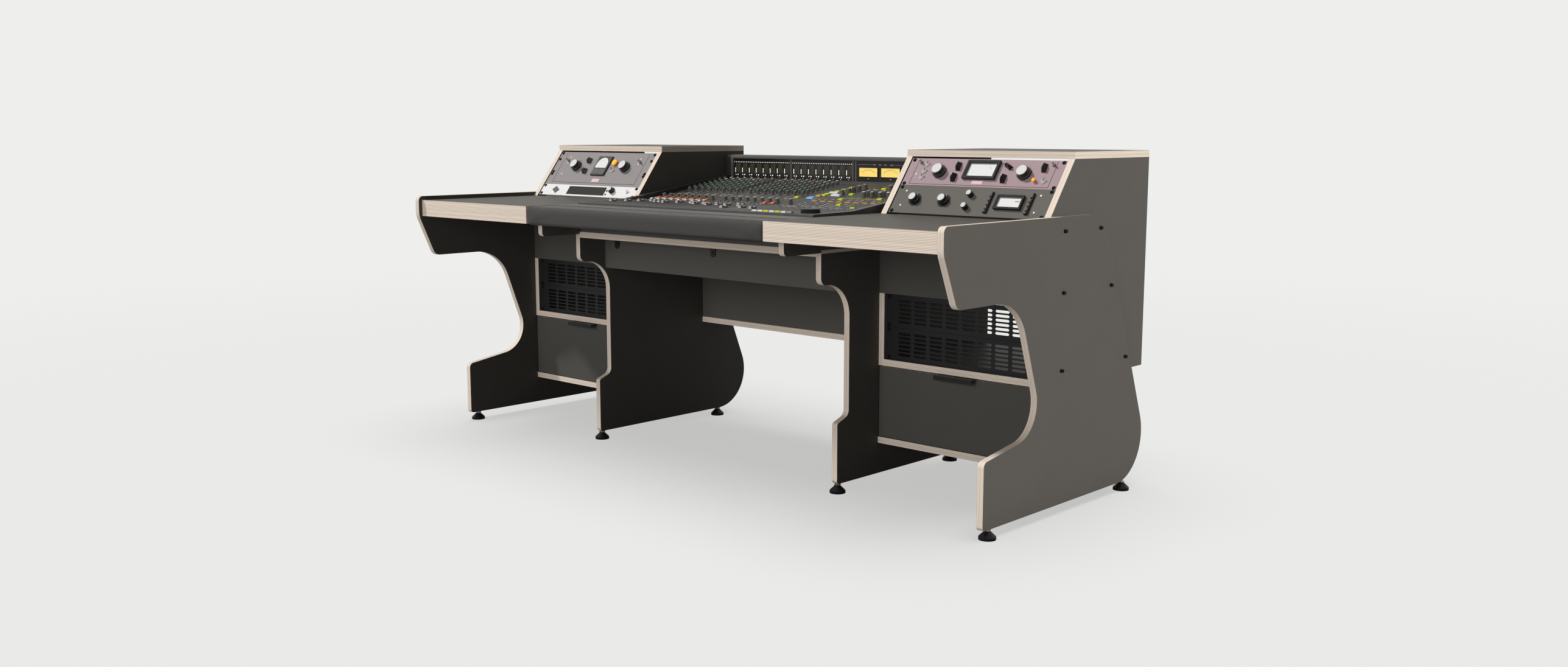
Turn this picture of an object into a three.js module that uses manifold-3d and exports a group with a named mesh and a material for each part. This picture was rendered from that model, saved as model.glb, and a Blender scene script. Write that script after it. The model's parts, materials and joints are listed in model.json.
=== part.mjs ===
// Studio desk with a mixing console, two leaning rack pods and two drawer cabinets.
// Millimetres, +Z up, +X to the right of a person who sits at the desk, +Y to its back.
import * as THREE from 'three';
import { mergeVertices } from 'three/addons/utils/BufferGeometryUtils.js';
import Module from 'manifold-3d';

const wasm = await Module();
wasm.setup();

// Driving dimensions of the desk
const deskWidth = 2070;
const board = 18;
const worktopHeight = 739.5;
const worktopThickness = 51;
const legBottom = 26;
const rearLean = THREE.MathUtils.degToRad(22);
const podLean = THREE.MathUtils.degToRad(37);
const gap = 0.3;
const overrun = 10;
const mergeTolerance = 0.0001;

// Rack standard: the pitch of one unit, and the width and height of a panel of one unit
const rackUnitHeight = 44.45;
const rackPanelHeight = 43.65;
const rackWidth = 482.6;
const rackSidePlay = 3.4;
const bayUnits = 4;

// Outer legs from the side: y runs back from the worktop's front edge, z up from the floor
const noseOverhang = 12.5;
const lipHeight = 12;
const lipFrontRadius = 15;
const lipRearRadius = 90;
const chestHeight = 690.2;
const chestRadius = 60;
const chinDepth = 42.6;
const chinRadius = 25;
const browHeight = 561.5;
const browDepth = 292.6;
const browRadius = 128;
const hollowHeight = 230.2;
const hollowDepth = 413.3;
const hollowRadius = 90;
const outerToeDepth = 160;
const outerToeHeight = 191.2;
const outerToeRadius = 15;
const soleRadius = 10;
const heelDepth = 967.4;
const heelRadius = 122;

// Inner legs from the side
const innerToeDepth = 266.5;
const innerToeHeight = 190;
const innerToeRadius = 8;
const innerStepDepth = 313;
const innerStepHeight = 208;
const innerStepRadius = 22;
const kneeHeight = 563.5;
const kneeRadius = 90;
const neckRadius = 19;

// Middle bay
const deckFront = 198.5;
const deckRear = 732;
const deckUnderside = 637;
const modestyFront = 297;
const modestyHeight = 98;
const troughFront = 712;
const troughLip = 2;
const troughDepth = 118;
const armrestDepth = 100;
const armrestDrop = 4;
const bearerFront = 57;
const bearerRear = 437;
const bearerDrop = 7;
const bearerRadius = 12;

// Cabinets
const cabinetFront = 438;
const cabinetRear = 929;
const baseUnderside = 111.5;
const baseDepth = 422;
const shelfUnderside = 328;
const bayPlay = 1.7;
const podFootSetback = 3;
const podPlay = 10.3;
const podMargin = 3.9;

// Places that follow from the sizes above
const clearWidth = rackWidth + rackSidePlay;
const cabinetWidth = clearWidth + 2 * board;
const panelPlay = rackUnitHeight - rackPanelHeight;
const outerFace = deskWidth / 2;
const outerInside = outerFace - board;
const innerOutside = outerInside - cabinetWidth;
const innerInside = innerOutside - board;
const cabinetCentre = (outerInside + innerOutside) / 2;
const worktopUnderside = worktopHeight - worktopThickness;
const deckTop = deckUnderside + board;
const lapHeight = deckUnderside + board / 2;
const shelfTop = shelfUnderside + board;
const baseTop = baseUnderside + board;
const fasciaBottom = shelfTop + bayUnits * rackUnitHeight + bayPlay;
const podSlope = bayUnits * rackUnitHeight + podPlay;
const podFootHeight = worktopHeight + gap;
const podFootDepth = cabinetFront + podFootSetback;
const podTopHeight = podFootHeight + podSlope * Math.cos(podLean);
const podTopDepth = podFootDepth + podSlope * Math.sin(podLean);

// The leaning rear edge that all four legs share
function rearEdge(height) {
  return heelDepth - (height - legBottom) * Math.tan(rearLean);
}

// Materials with the colours seen in the photograph
function finish(colour, roughness, metalness = 0) {
  return new THREE.MeshStandardMaterial({ color: colour, roughness, metalness });
}
const laminate = finish(0x4b4843, 0.5);
const worktopLaminate = finish(0x8f8c86, 0.5);
const darkLaminate = finish(0x3a3935, 0.55);
const leather = finish(0x3d3b38, 0.6);
const blackSteel = finish(0x2c2c2b, 0.5, 0.3);
const blackPlastic = finish(0x161616, 0.45);
const consoleGrey = finish(0x4a4844, 0.5, 0.2);
const maroonPaint = finish(0x5a2f3c, 0.45, 0.2);
const greyPaint = finish(0x9a989e, 0.45, 0.2);
const whitePaint = finish(0xe6e6e6, 0.45, 0.1);
const alloy = finish(0xc8c8c8, 0.3, 0.9);

const arcSteps = 6;
const legArcSteps = 14;

// A closed outline through corners [a, b, radius]; each radius becomes an arc tangent to both sides.
// Where two arcs want more of a side than there is, they share it as their wants compare.
function roundedOutline(corners) {
  const shape = new THREE.Shape();
  const wrap = (index) => (index + corners.length) % corners.length;
  const at = (index) => new THREE.Vector2(...corners[wrap(index)]);
  const halfAngle = (index) => {
    const before = at(index - 1).sub(at(index)).normalize();
    const after = at(index + 1).sub(at(index)).normalize();
    return Math.acos(THREE.MathUtils.clamp(before.dot(after), -1, 1)) / 2;
  };
  const want = (index) => {
    const [, , radius = 0] = corners[wrap(index)];
    return radius / Math.tan(halfAngle(index));
  };
  corners.forEach(([a, b, wanted = 0], index) => {
    if (wanted === 0) {
      if (index === 0) shape.moveTo(a, b);
      else shape.lineTo(a, b);
      return;
    }
    const here = at(index);
    const toBefore = at(index - 1).sub(here);
    const toAfter = at(index + 1).sub(here);
    const own = want(index);
    const roomBefore = (toBefore.length() * own) / (own + want(index - 1));
    const roomAfter = (toAfter.length() * own) / (own + want(index + 1));
    toBefore.normalize();
    toAfter.normalize();
    const half = halfAngle(index);
    const reach = Math.min(own, roomBefore, roomAfter);
    const radius = reach * Math.tan(half);
    const middle = toBefore.clone().add(toAfter).normalize();
    const centre = here.clone().addScaledVector(middle, radius / Math.sin(half));
    const start = here.clone().addScaledVector(toBefore, reach).sub(centre);
    const end = here.clone().addScaledVector(toAfter, reach).sub(centre);
    shape.absarc(centre.x, centre.y, radius, start.angle(), end.angle(), toBefore.cross(toAfter) > 0);
  });
  return shape;
}

// Extrusions of an outline: [y, z] along X, [x, z] along Y, [x, y] along Z
const axisX = new THREE.Vector3(1, 0, 0);
const axisY = new THREE.Vector3(0, 1, 0);
const axisZ = new THREE.Vector3(0, 0, 1);
function extrude(shape, depth, steps = arcSteps) {
  return new THREE.ExtrudeGeometry(shape, { depth, bevelEnabled: false, curveSegments: steps });
}
function alongX(shape, from, to, steps) {
  const geometry = extrude(shape, to - from, steps);
  geometry.applyMatrix4(new THREE.Matrix4().makeBasis(axisY, axisZ, axisX));
  return geometry.translate(from, 0, 0);
}
function alongY(shape, from, to, steps) {
  const geometry = extrude(shape, to - from, steps);
  geometry.applyMatrix4(new THREE.Matrix4().makeBasis(axisX, axisZ, axisY.clone().negate()));
  return geometry.translate(0, to, 0);
}

// A box between two corners
function block(x0, x1, y0, y1, z0, z1) {
  const geometry = new THREE.BoxGeometry(x1 - x0, y1 - y0, z1 - z0);
  return geometry.translate((x0 + x1) / 2, (y0 + y1) / 2, (z0 + z1) / 2);
}

// A turned piece about Z from [radius, height] points, lowest first
function turned(points, sides) {
  const profile = points.map(([radius, height]) => new THREE.Vector2(radius, height));
  return new THREE.LatheGeometry(profile, sides).rotateX(Math.PI / 2);
}

// A plain round bar about Z
function bar(radius, z0, z1, sides) {
  return turned([[0, z0], [radius, z0], [radius, z1], [0, z1]], sides);
}

// Solids for cutting and joining
function toSolid(geometry) {
  const bare = new THREE.BufferGeometry();
  bare.setAttribute('position', geometry.attributes.position.clone());
  if (geometry.index) bare.setIndex(geometry.index.clone());
  const merged = mergeVertices(bare, mergeTolerance);
  const corners = merged.index.array;
  const triangles = [];
  for (let i = 0; i < corners.length; i += 3) {
    const [a, b, c] = corners.slice(i, i + 3);
    if (a !== b && b !== c && c !== a) triangles.push(a, b, c);
  }
  return new wasm.Manifold(new wasm.Mesh({
    numProp: 3,
    vertProperties: merged.attributes.position.array,
    triVerts: new Uint32Array(triangles),
  }));
}
function toGeometry(solid) {
  const mesh = solid.getMesh();
  const geometry = new THREE.BufferGeometry();
  geometry.setAttribute('position', new THREE.BufferAttribute(mesh.vertProperties, 3));
  geometry.setIndex(new THREE.BufferAttribute(mesh.triVerts, 1));
  geometry.computeVertexNormals();
  return geometry;
}
function joined(...geometries) {
  return toGeometry(geometries.map(toSolid).reduce((all, next) => all.add(next)));
}
function cut(geometry, ...tools) {
  return toGeometry(tools.map(toSolid).reduce((rest, tool) => rest.subtract(tool), toSolid(geometry)));
}

// The desk's own group: y = 0 is the worktop's front edge, so the group moves to centre the footprint
const desk = new THREE.Group();
desk.position.y = (noseOverhang - cabinetRear) / 2;
function piece(name, geometry, material, parent = desk) {
  const mesh = new THREE.Mesh(geometry, material);
  mesh.name = name;
  parent.add(mesh);
  return mesh;
}

// What stands once on each side: sign is 1 on the right and -1 on the left
const sides = [['right', 1], ['left', -1]];
function span(sign, near, far) {
  return sign > 0 ? [near, far] : [-far, -near];
}

// Feet: a round pad, a cone and a threaded stud that screws into the leg
const footRadius = 21.5;
const footRim = 7;
const footNeckRadius = 8;
const footNeckHeight = 20;
const studRadius = 4;
const studLength = 28;
const studSides = 20;
const boreDepth = 30;
const outerFootSetback = 33.6;
const innerFootSetback = 13;
const outerHeelSetback = 142.6;
const innerHeelSetback = 180.4;
const outerFootFront = outerToeDepth + outerFootSetback;
const outerFootRear = heelDepth - outerHeelSetback;
const innerFootFront = innerToeDepth + innerFootSetback;
const innerFootRear = heelDepth - innerHeelSetback;
const studTop = legBottom + studLength;

function footGeometry() {
  return turned([
    [0, 0],
    [footRadius, 0],
    [footRadius, footRim],
    [footNeckRadius, footNeckHeight],
    [studRadius, footNeckHeight],
    [studRadius, studTop],
    [0, studTop],
  ], studSides);
}

function withBores(leg, x, depths) {
  const bores = depths.map((y) => {
    const bore = bar(studRadius + gap, legBottom - overrun, legBottom + boreDepth, studSides);
    return bore.translate(x, y, 0);
  });
  return cut(leg, ...bores);
}

function makeFeet(side, sign) {
  const places = [
    ['outer_front', outerFace - board / 2, outerFootFront],
    ['outer_rear', outerFace - board / 2, outerFootRear],
    ['inner_front', innerInside + board / 2, innerFootFront],
    ['inner_rear', innerInside + board / 2, innerFootRear],
  ];
  for (const [place, x, y] of places) {
    const foot = piece(`foot_${place}_${side}`, footGeometry(), blackPlastic);
    foot.position.set(sign * x, y, 0);
  }
}

// Legs
const lipTop = worktopHeight + lipHeight;
function makeLegs(side, sign) {
  const outer = roundedOutline([
    [outerToeDepth, legBottom, soleRadius],
    [outerToeDepth, outerToeHeight, outerToeRadius],
    [hollowDepth, hollowHeight, hollowRadius],
    [browDepth, browHeight, browRadius],
    [chinDepth, browHeight, chinRadius],
    [-noseOverhang, chestHeight, chestRadius],
    [-noseOverhang, lipTop, lipFrontRadius],
    [rearEdge(lipTop), lipTop, lipRearRadius],
    [heelDepth, legBottom, heelRadius],
  ]);
  const outerLeg = alongX(outer, ...span(sign, outerInside, outerFace), legArcSteps);
  const outerMiddle = sign * (outerFace - board / 2);
  piece(`outer_leg_${side}`, withBores(outerLeg, outerMiddle, [outerFootFront, outerFootRear]), laminate);

  const inner = roundedOutline([
    [innerToeDepth, legBottom, soleRadius],
    [innerToeDepth, innerToeHeight, innerToeRadius],
    [innerStepDepth, innerStepHeight, innerStepRadius],
    [innerStepDepth, kneeHeight, kneeRadius],
    [deckFront, kneeHeight, neckRadius],
    [deckFront, lapHeight],
    [rearEdge(lapHeight), lapHeight],
    [heelDepth, legBottom, heelRadius],
  ]);
  const innerLeg = alongX(inner, ...span(sign, innerInside, innerOutside), legArcSteps);
  const innerMiddle = sign * (innerInside + board / 2);
  piece(`inner_leg_${side}`, withBores(innerLeg, innerMiddle, [innerFootFront, innerFootRear]), laminate);
}

// Wing worktops, their inner bearers and the fascia below them
const worktopRear = podFootDepth - gap;
function makeWing(side, sign) {
  const wingX = span(sign, innerInside, outerInside - gap);
  const wing = block(...wingX, 0, worktopRear, worktopUnderside, worktopHeight);
  piece(`wing_worktop_${side}`, wing, worktopLaminate);

  const bearer = roundedOutline([
    [bearerRear, worktopUnderside],
    [bearerFront, worktopUnderside],
    [bearerFront, deckTop - bearerDrop, bearerRadius],
    [deckFront - gap, deckTop - bearerDrop],
    [deckFront - gap, deckTop],
    [bearerRear, deckTop],
  ]);
  piece(`bearer_${side}`, alongX(bearer, ...span(sign, innerInside, innerOutside)), laminate);

  const fasciaX = span(sign, innerOutside, outerInside);
  const fascia = block(...fasciaX, cabinetFront, cabinetFront + board, fasciaBottom, worktopUnderside);
  piece(`cabinet_fascia_${side}`, fascia, darkLaminate);
}

// Middle bay: worktop strip, armrest, deck, modesty panel and cable trough
const consoleFront = 190.5;
function makeMiddleBay() {
  const stripFront = armrestDepth + gap;
  const stripRear = consoleFront - gap;
  const strip = block(-innerInside, innerInside, stripFront, stripRear, worktopUnderside, worktopHeight);
  piece('centre_worktop', strip, worktopLaminate);

  const deck = roundedOutline([
    [-innerInside, deckUnderside],
    [innerInside, deckUnderside],
    [innerInside, lapHeight],
    [innerOutside, lapHeight],
    [innerOutside, deckTop],
    [-innerOutside, deckTop],
    [-innerOutside, lapHeight],
    [-innerInside, lapHeight],
  ]);
  piece('deck_board', alongY(deck, deckFront, deckRear), laminate);

  const modestyRear = modestyFront + board;
  const modestyBottom = deckUnderside - modestyHeight;
  const modesty = block(-innerInside, innerInside, modestyFront, modestyRear, modestyBottom, deckUnderside);
  piece('modesty_panel', modesty, laminate);

  const troughRear = troughFront + troughDepth;
  const floor = block(-innerInside, innerInside, troughFront, troughRear, shelfUnderside, shelfTop);
  piece('trough_board', floor, laminate);
  const panelFront = troughFront + troughLip;
  const panel = block(-innerInside, innerInside, panelFront, panelFront + board, shelfTop, deckUnderside);
  piece('trough_panel', panel, laminate);
}

// Armrest: rings of one padded section, crowned along its length and drawn in at both ends
const armrestEndGap = 3;
const armrestTopRadius = 17;
const armrestEdgeRadius = 8;
const armrestCrown = 1.5;
const armrestEndLength = 16;
const armrestRings = 30;
const armrestArcSteps = 3;
const endShrinkShare = 0.22;
function makeArmrest() {
  const bottom = worktopUnderside - armrestDrop;
  const top = worktopHeight - armrestCrown;
  const section = roundedOutline([
    [armrestCrown, bottom, armrestEdgeRadius],
    [armrestDepth, bottom, armrestEdgeRadius],
    [armrestDepth, top, armrestEdgeRadius],
    [armrestCrown, top, armrestTopRadius],
  ]).getPoints(armrestArcSteps);
  section.pop();
  const count = section.length;
  const middleY = armrestDepth / 2;
  const middleZ = (bottom + top) / 2;
  const half = innerInside - armrestEndGap;
  const points = [];
  for (let ring = 0; ring <= armrestRings; ring++) {
    const along = -Math.cos(Math.PI * ring / armrestRings);
    const x = along * half;
    const fromEnd = half - Math.abs(x);
    const bend = Math.max(0, 1 - fromEnd / armrestEndLength);
    const scale = 1 - endShrinkShare * (1 - Math.sqrt(1 - bend * bend));
    const crown = armrestCrown * (1 - along ** 2);
    for (const { x: y, y: z } of section) {
      const lift = z > middleZ ? crown : 0;
      const push = y < middleY ? crown : 0;
      points.push(x, middleY + (y - middleY) * scale - push, middleZ + (z - middleZ) * scale + lift);
    }
  }
  const faces = [];
  for (let ring = 0; ring < armrestRings; ring++) {
    for (let i = 0; i < count; i++) {
      const a = ring * count + i;
      const b = ring * count + (i + 1) % count;
      faces.push(a, b, a + count, b, b + count, a + count);
    }
  }
  const last = armrestRings * count;
  for (let i = 1; i < count - 1; i++) {
    faces.push(0, i + 1, i);
    faces.push(last, last + i, last + i + 1);
  }
  const geometry = new THREE.BufferGeometry();
  geometry.setAttribute('position', new THREE.Float32BufferAttribute(points, 3));
  geometry.setIndex(faces);
  piece('armrest', geometry, leather);
}

// Cabinet boards of one side
function makeCabinet(side, sign) {
  const profile = roundedOutline([
    [cabinetFront, shelfUnderside],
    [cabinetRear, shelfUnderside],
    [cabinetRear, podTopHeight],
    [podTopDepth, podTopHeight],
    [podFootDepth, podFootHeight],
    [podFootDepth, worktopUnderside],
    [cabinetFront + board, worktopUnderside],
    [cabinetFront + board, fasciaBottom],
    [cabinetFront, fasciaBottom],
  ]);
  const innerSide = alongX(profile, ...span(sign, innerOutside, innerOutside + board));
  piece(`cabinet_inner_side_${side}`, innerSide, laminate);
  const outerSide = alongX(profile, ...span(sign, outerInside - board, outerInside));
  piece(`cabinet_outer_side_${side}`, outerSide, laminate);

  const shelfX = span(sign, innerOutside + board, outerInside - board);
  const shelf = block(...shelfX, cabinetFront, cabinetRear, shelfUnderside, shelfTop);
  piece(`cabinet_shelf_${side}`, shelf, laminate);
  const fullX = span(sign, innerOutside, outerInside);
  const baseRear = cabinetFront + baseDepth;
  piece(`cabinet_base_${side}`, block(...fullX, cabinetFront, baseRear, baseUnderside, baseTop), laminate);
  const topOfPod = podTopHeight + board;
  piece(`pod_top_${side}`, block(...fullX, podTopDepth, cabinetRear, podTopHeight, topOfPod), laminate);
}

// Vented rack panels in the lower bay, two a side
const ventUnits = 2;
const ventRecess = 9;
const ventThickness = 2;
const slotColumns = 8;
const slotRows = 6;
const ventSideMargin = 38.7;
const ventEdgeMargin = 12.3;
const slotBridgeX = 7.6;
const slotBridgeZ = 4.3;
const ventHeight = ventUnits * rackUnitHeight - panelPlay;
const slotPitchX = (rackWidth - 2 * ventSideMargin + slotBridgeX) / slotColumns;
const slotPitchZ = (ventHeight - 2 * ventEdgeMargin + slotBridgeZ) / slotRows;
const slotLength = slotPitchX - slotBridgeX;
const slotHeight = slotPitchZ - slotBridgeZ;
function ventGeometry() {
  const sheet = roundedOutline([
    [-rackWidth / 2, 0],
    [rackWidth / 2, 0],
    [rackWidth / 2, ventHeight],
    [-rackWidth / 2, ventHeight],
  ]);
  for (let column = 0; column < slotColumns; column++) {
    for (let row = 0; row < slotRows; row++) {
      const x = (column - (slotColumns - 1) / 2) * slotPitchX;
      const z = ventHeight / 2 + (row - (slotRows - 1) / 2) * slotPitchZ;
      const slot = new THREE.Path();
      const reach = (slotLength - slotHeight) / 2;
      slot.absarc(x + reach, z, slotHeight / 2, -Math.PI / 2, Math.PI / 2, false);
      slot.absarc(x - reach, z, slotHeight / 2, Math.PI / 2, Math.PI * 3 / 2, false);
      sheet.holes.push(slot);
    }
  }
  return alongY(sheet, 0, ventThickness, 1);
}
function makeVents(side, sign) {
  for (const [level, place] of ['lower', 'upper'].entries()) {
    const panel = piece(`vent_panel_${place}_${side}`, ventGeometry(), blackSteel);
    const height = shelfTop + gap + level * ventUnits * rackUnitHeight;
    panel.position.set(sign * cabinetCentre, cabinetFront + ventRecess, height);
  }
}

// Drawers: a front, an open box behind it and a folded edge pull
const drawerSidePlay = 2;
const drawerBottomPlay = 1.5;
const drawerTopPlay = 3.3;
const drawerSetback = 2;
const drawerBoxPlay = 14;
const drawerBoxDepth = 380;
const drawerBoxHeight = 160;
const drawerWall = 12;
const drawerFloor = 6;
const pullWidth = 120;
const pullSheet = 1.5;
const pullReach = 25;
const pullDrop = 12;
function makeDrawer(side, sign) {
  const centre = sign * cabinetCentre;
  const halfFront = cabinetWidth / 2 - drawerSidePlay;
  const face = cabinetFront + drawerSetback;
  const frontRear = face + board;
  const frontTop = shelfUnderside - drawerTopPlay;
  const frontX = [centre - halfFront, centre + halfFront];
  const front = block(...frontX, face, frontRear, baseTop + drawerBottomPlay, frontTop);
  piece(`drawer_front_${side}`, front, darkLaminate);

  const half = cabinetWidth / 2 - drawerBoxPlay;
  const bottom = baseTop + gap;
  const boxX = [centre - half, centre + half];
  const box = block(...boxX, frontRear, frontRear + drawerBoxDepth, bottom, bottom + drawerBoxHeight);
  const inside = block(
    centre - half + drawerWall, centre + half - drawerWall,
    frontRear + drawerWall, frontRear + drawerBoxDepth - drawerWall,
    bottom + drawerFloor, bottom + drawerBoxHeight + overrun);
  piece(`drawer_box_${side}`, cut(box, inside), laminate);

  const pullBottom = frontTop + gap;
  const pullTop = pullBottom + pullSheet;
  const pullFront = face - pullReach;
  const pull = roundedOutline([
    [pullFront, pullTop],
    [pullFront, pullTop - pullDrop],
    [pullFront + pullSheet, pullTop - pullDrop],
    [pullFront + pullSheet, pullBottom],
    [frontRear, pullBottom],
    [frontRear, pullTop],
  ]);
  piece(`drawer_pull_${side}`, alongX(pull, centre - pullWidth / 2, centre + pullWidth / 2), blackSteel);
}

// Pods: a leaning frame whose X is the desk's, whose Y runs into the pod and whose Z runs up the slope.
// Its origin is the pod's top front corner.
const panelRecess = 2.6;
const panelThickness = 3;
const earWidth = 25.3;
const caseWidth = rackWidth - 2 * earWidth;
const caseInset = 2;
const caseLap = 1;
const caseDepth = 150;
const caseSheet = 2.5;
const stripSheet = 2;
const stripFace = 16;
const stripDepth = 30;
const stripTop = 2;
const stripToeDepth = 20;
const stripToeRise = 11;
const stripFoot = 4;
const panelBack = panelRecess + panelThickness;

function podFrame(sign) {
  const frame = new THREE.Group();
  frame.position.set(sign * cabinetCentre, podTopDepth, podTopHeight);
  frame.rotation.x = -podLean;
  desk.add(frame);
  return frame;
}

function makeRackFrame(side, frame) {
  const front = panelBack + gap;
  const back = front + stripDepth;
  const half = clearWidth / 2;
  const toe = stripToeRise - podSlope;
  const foot = stripFoot - podSlope;
  const solids = [block(-half, half, back - stripToeDepth / 2, back, foot, foot + stripSheet)];
  for (const [x0, x1, face0, face1] of [
    [-half, stripSheet - half, -half, stripFace - half],
    [half - stripSheet, half, half - stripFace, half],
  ]) {
    solids.push(block(x0, x1, front, back, toe, -stripTop));
    solids.push(block(x0, x1, front + stripToeDepth, back, foot, -stripTop));
    solids.push(block(face0, face1, front, front + stripSheet, toe, -stripTop));
  }
  piece(`rack_frame_${side}`, joined(...solids), blackSteel, frame);
}

// A knob about its own Z, standing on z = 0, with its shaft below it
const shaftRadius = 3;
const shaftDepth = 8;
const knobSides = 24;
const capShare = 0.8;
const skirtShare = 0.3;
function knobGeometry(radius, height) {
  return turned([
    [0, -shaftDepth],
    [shaftRadius, -shaftDepth],
    [shaftRadius, gap],
    [radius, gap],
    [radius, height * skirtShare],
    [radius * capShare, height * (skirtShare + 1 - capShare)],
    [radius * capShare, height],
    [0, height],
  ], knobSides);
}

// A rack unit: a front panel and a closed sheet case, with a bore for each of its main knobs
function makeUnit(name, frame, material, units, unitsAbove, knobs) {
  const top = -podMargin - unitsAbove * rackUnitHeight;
  const bottom = top - units * rackUnitHeight + panelPlay;
  const plate = block(-rackWidth / 2, rackWidth / 2, panelRecess, panelBack, bottom, top);
  const shell = block(
    -caseWidth / 2, caseWidth / 2, panelBack - caseLap, panelBack + caseDepth,
    bottom + caseInset, top - caseInset);
  const wall = caseInset + caseSheet;
  const inside = block(
    caseSheet - caseWidth / 2, caseWidth / 2 - caseSheet,
    panelBack + caseSheet, panelBack + caseDepth - caseSheet, bottom + wall, top - wall);
  const bores = knobs.map(({ x, down }) => {
    const bore = bar(shaftRadius + gap, -overrun, shaftDepth + gap, knobSides).rotateX(-Math.PI / 2);
    return bore.translate(x, panelRecess, top - down);
  });
  piece(`rack_unit_${name}`, cut(joined(plate, shell), inside, ...bores), material, frame);
  for (const { knob, x, down, radius, height } of knobs) {
    const mesh = piece(`${knob}_knob_${name}`, knobGeometry(radius, height), alloy, frame);
    mesh.rotation.x = Math.PI / 2;
    mesh.position.set(x, panelRecess, top - down);
  }
}

const bigKnobRadius = 19.5;
const bigKnobHeight = 20;
const dialRadius = 14;
const dialHeight = 18;
const menuKnobRadius = 11;
const menuKnobHeight = 16;
const maroonKnobSpread = 132;
const maroonKnobDown = 43.9;
const greyKnobSpread = 123.5;
const greyKnobDown = 58.9;
const blackKnobInputX = -172;
const blackKnobOutputX = -78;
const blackKnobDown = 45;
const whiteKnobX = 122;
const whiteKnobDown = 18.5;
function makeRightPod() {
  const frame = podFrame(1);
  makeRackFrame('right', frame);
  const big = { down: maroonKnobDown, radius: bigKnobRadius, height: bigKnobHeight };
  makeUnit('maroon', frame, maroonPaint, 2, 0, [
    { knob: 'gain', x: -maroonKnobSpread, ...big },
    { knob: 'reduction', x: maroonKnobSpread, ...big },
  ]);
  const dial = { down: blackKnobDown, radius: dialRadius, height: dialHeight };
  makeUnit('black', frame, blackSteel, 2, 2, [
    { knob: 'input', x: blackKnobInputX, ...dial },
    { knob: 'output', x: blackKnobOutputX, ...dial },
  ]);
}
function makeLeftPod() {
  const frame = podFrame(-1);
  makeRackFrame('left', frame);
  const big = { down: greyKnobDown, radius: bigKnobRadius, height: bigKnobHeight };
  makeUnit('grey', frame, greyPaint, 3, 0, [
    { knob: 'gain', x: -greyKnobSpread, ...big },
    { knob: 'reduction', x: greyKnobSpread, ...big },
  ]);
  makeUnit('white', frame, whitePaint, 1, 3, [
    { knob: 'menu', x: whiteKnobX, down: whiteKnobDown, radius: menuKnobRadius, height: menuKnobHeight },
  ]);
}

// Console: a closed sheet case on the deck board, with a flat fader area that rises to the meter bridge
const consoleSidePlay = 4;
const consoleSheet = 4;
const cheekWidth = 18;
const consoleRim = 4.5;
const faderRise = 6;
const faderRear = 470;
const slopeRear = 785;
const slopeRise = 52;
const cheekRise = 2;
const cheekBendDepth = 350;
const cheekHipDepth = 480;
const cheekHipRise = 17.5;
const cheekBendRadius = 300;
const cheekHipRadius = 200;
const cheekRearRise = 15;
const bridgeFront = 826;
const bridgeHeight = 81;
const bridgeDepth = 64;
const bridgeOverhang = 10;
const bridgeTopRadius = 9;
const bridgeScreenInset = 4;
const bridgeLip = 11;
const bridgeSill = 6;
const bridgeEnd = 30;
const wheelInset = 55;
const wheelDepth = 243;
const wheelRadius = 26;
const wheelHeight = 11.5;
const wheelEdge = 1.5;
const wheelShaftRadius = 5;
const wheelShaft = 10;
const consoleHalf = innerInside - consoleSidePlay;
const wheelX = consoleHalf - wheelInset;
const bridgeRear = bridgeFront + bridgeDepth;
const consoleRear = bridgeRear - bridgeOverhang;
const rimBottom = worktopHeight + gap;
const faderHeight = rimBottom + faderRise;
const slopeTop = faderHeight + slopeRise;
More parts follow.
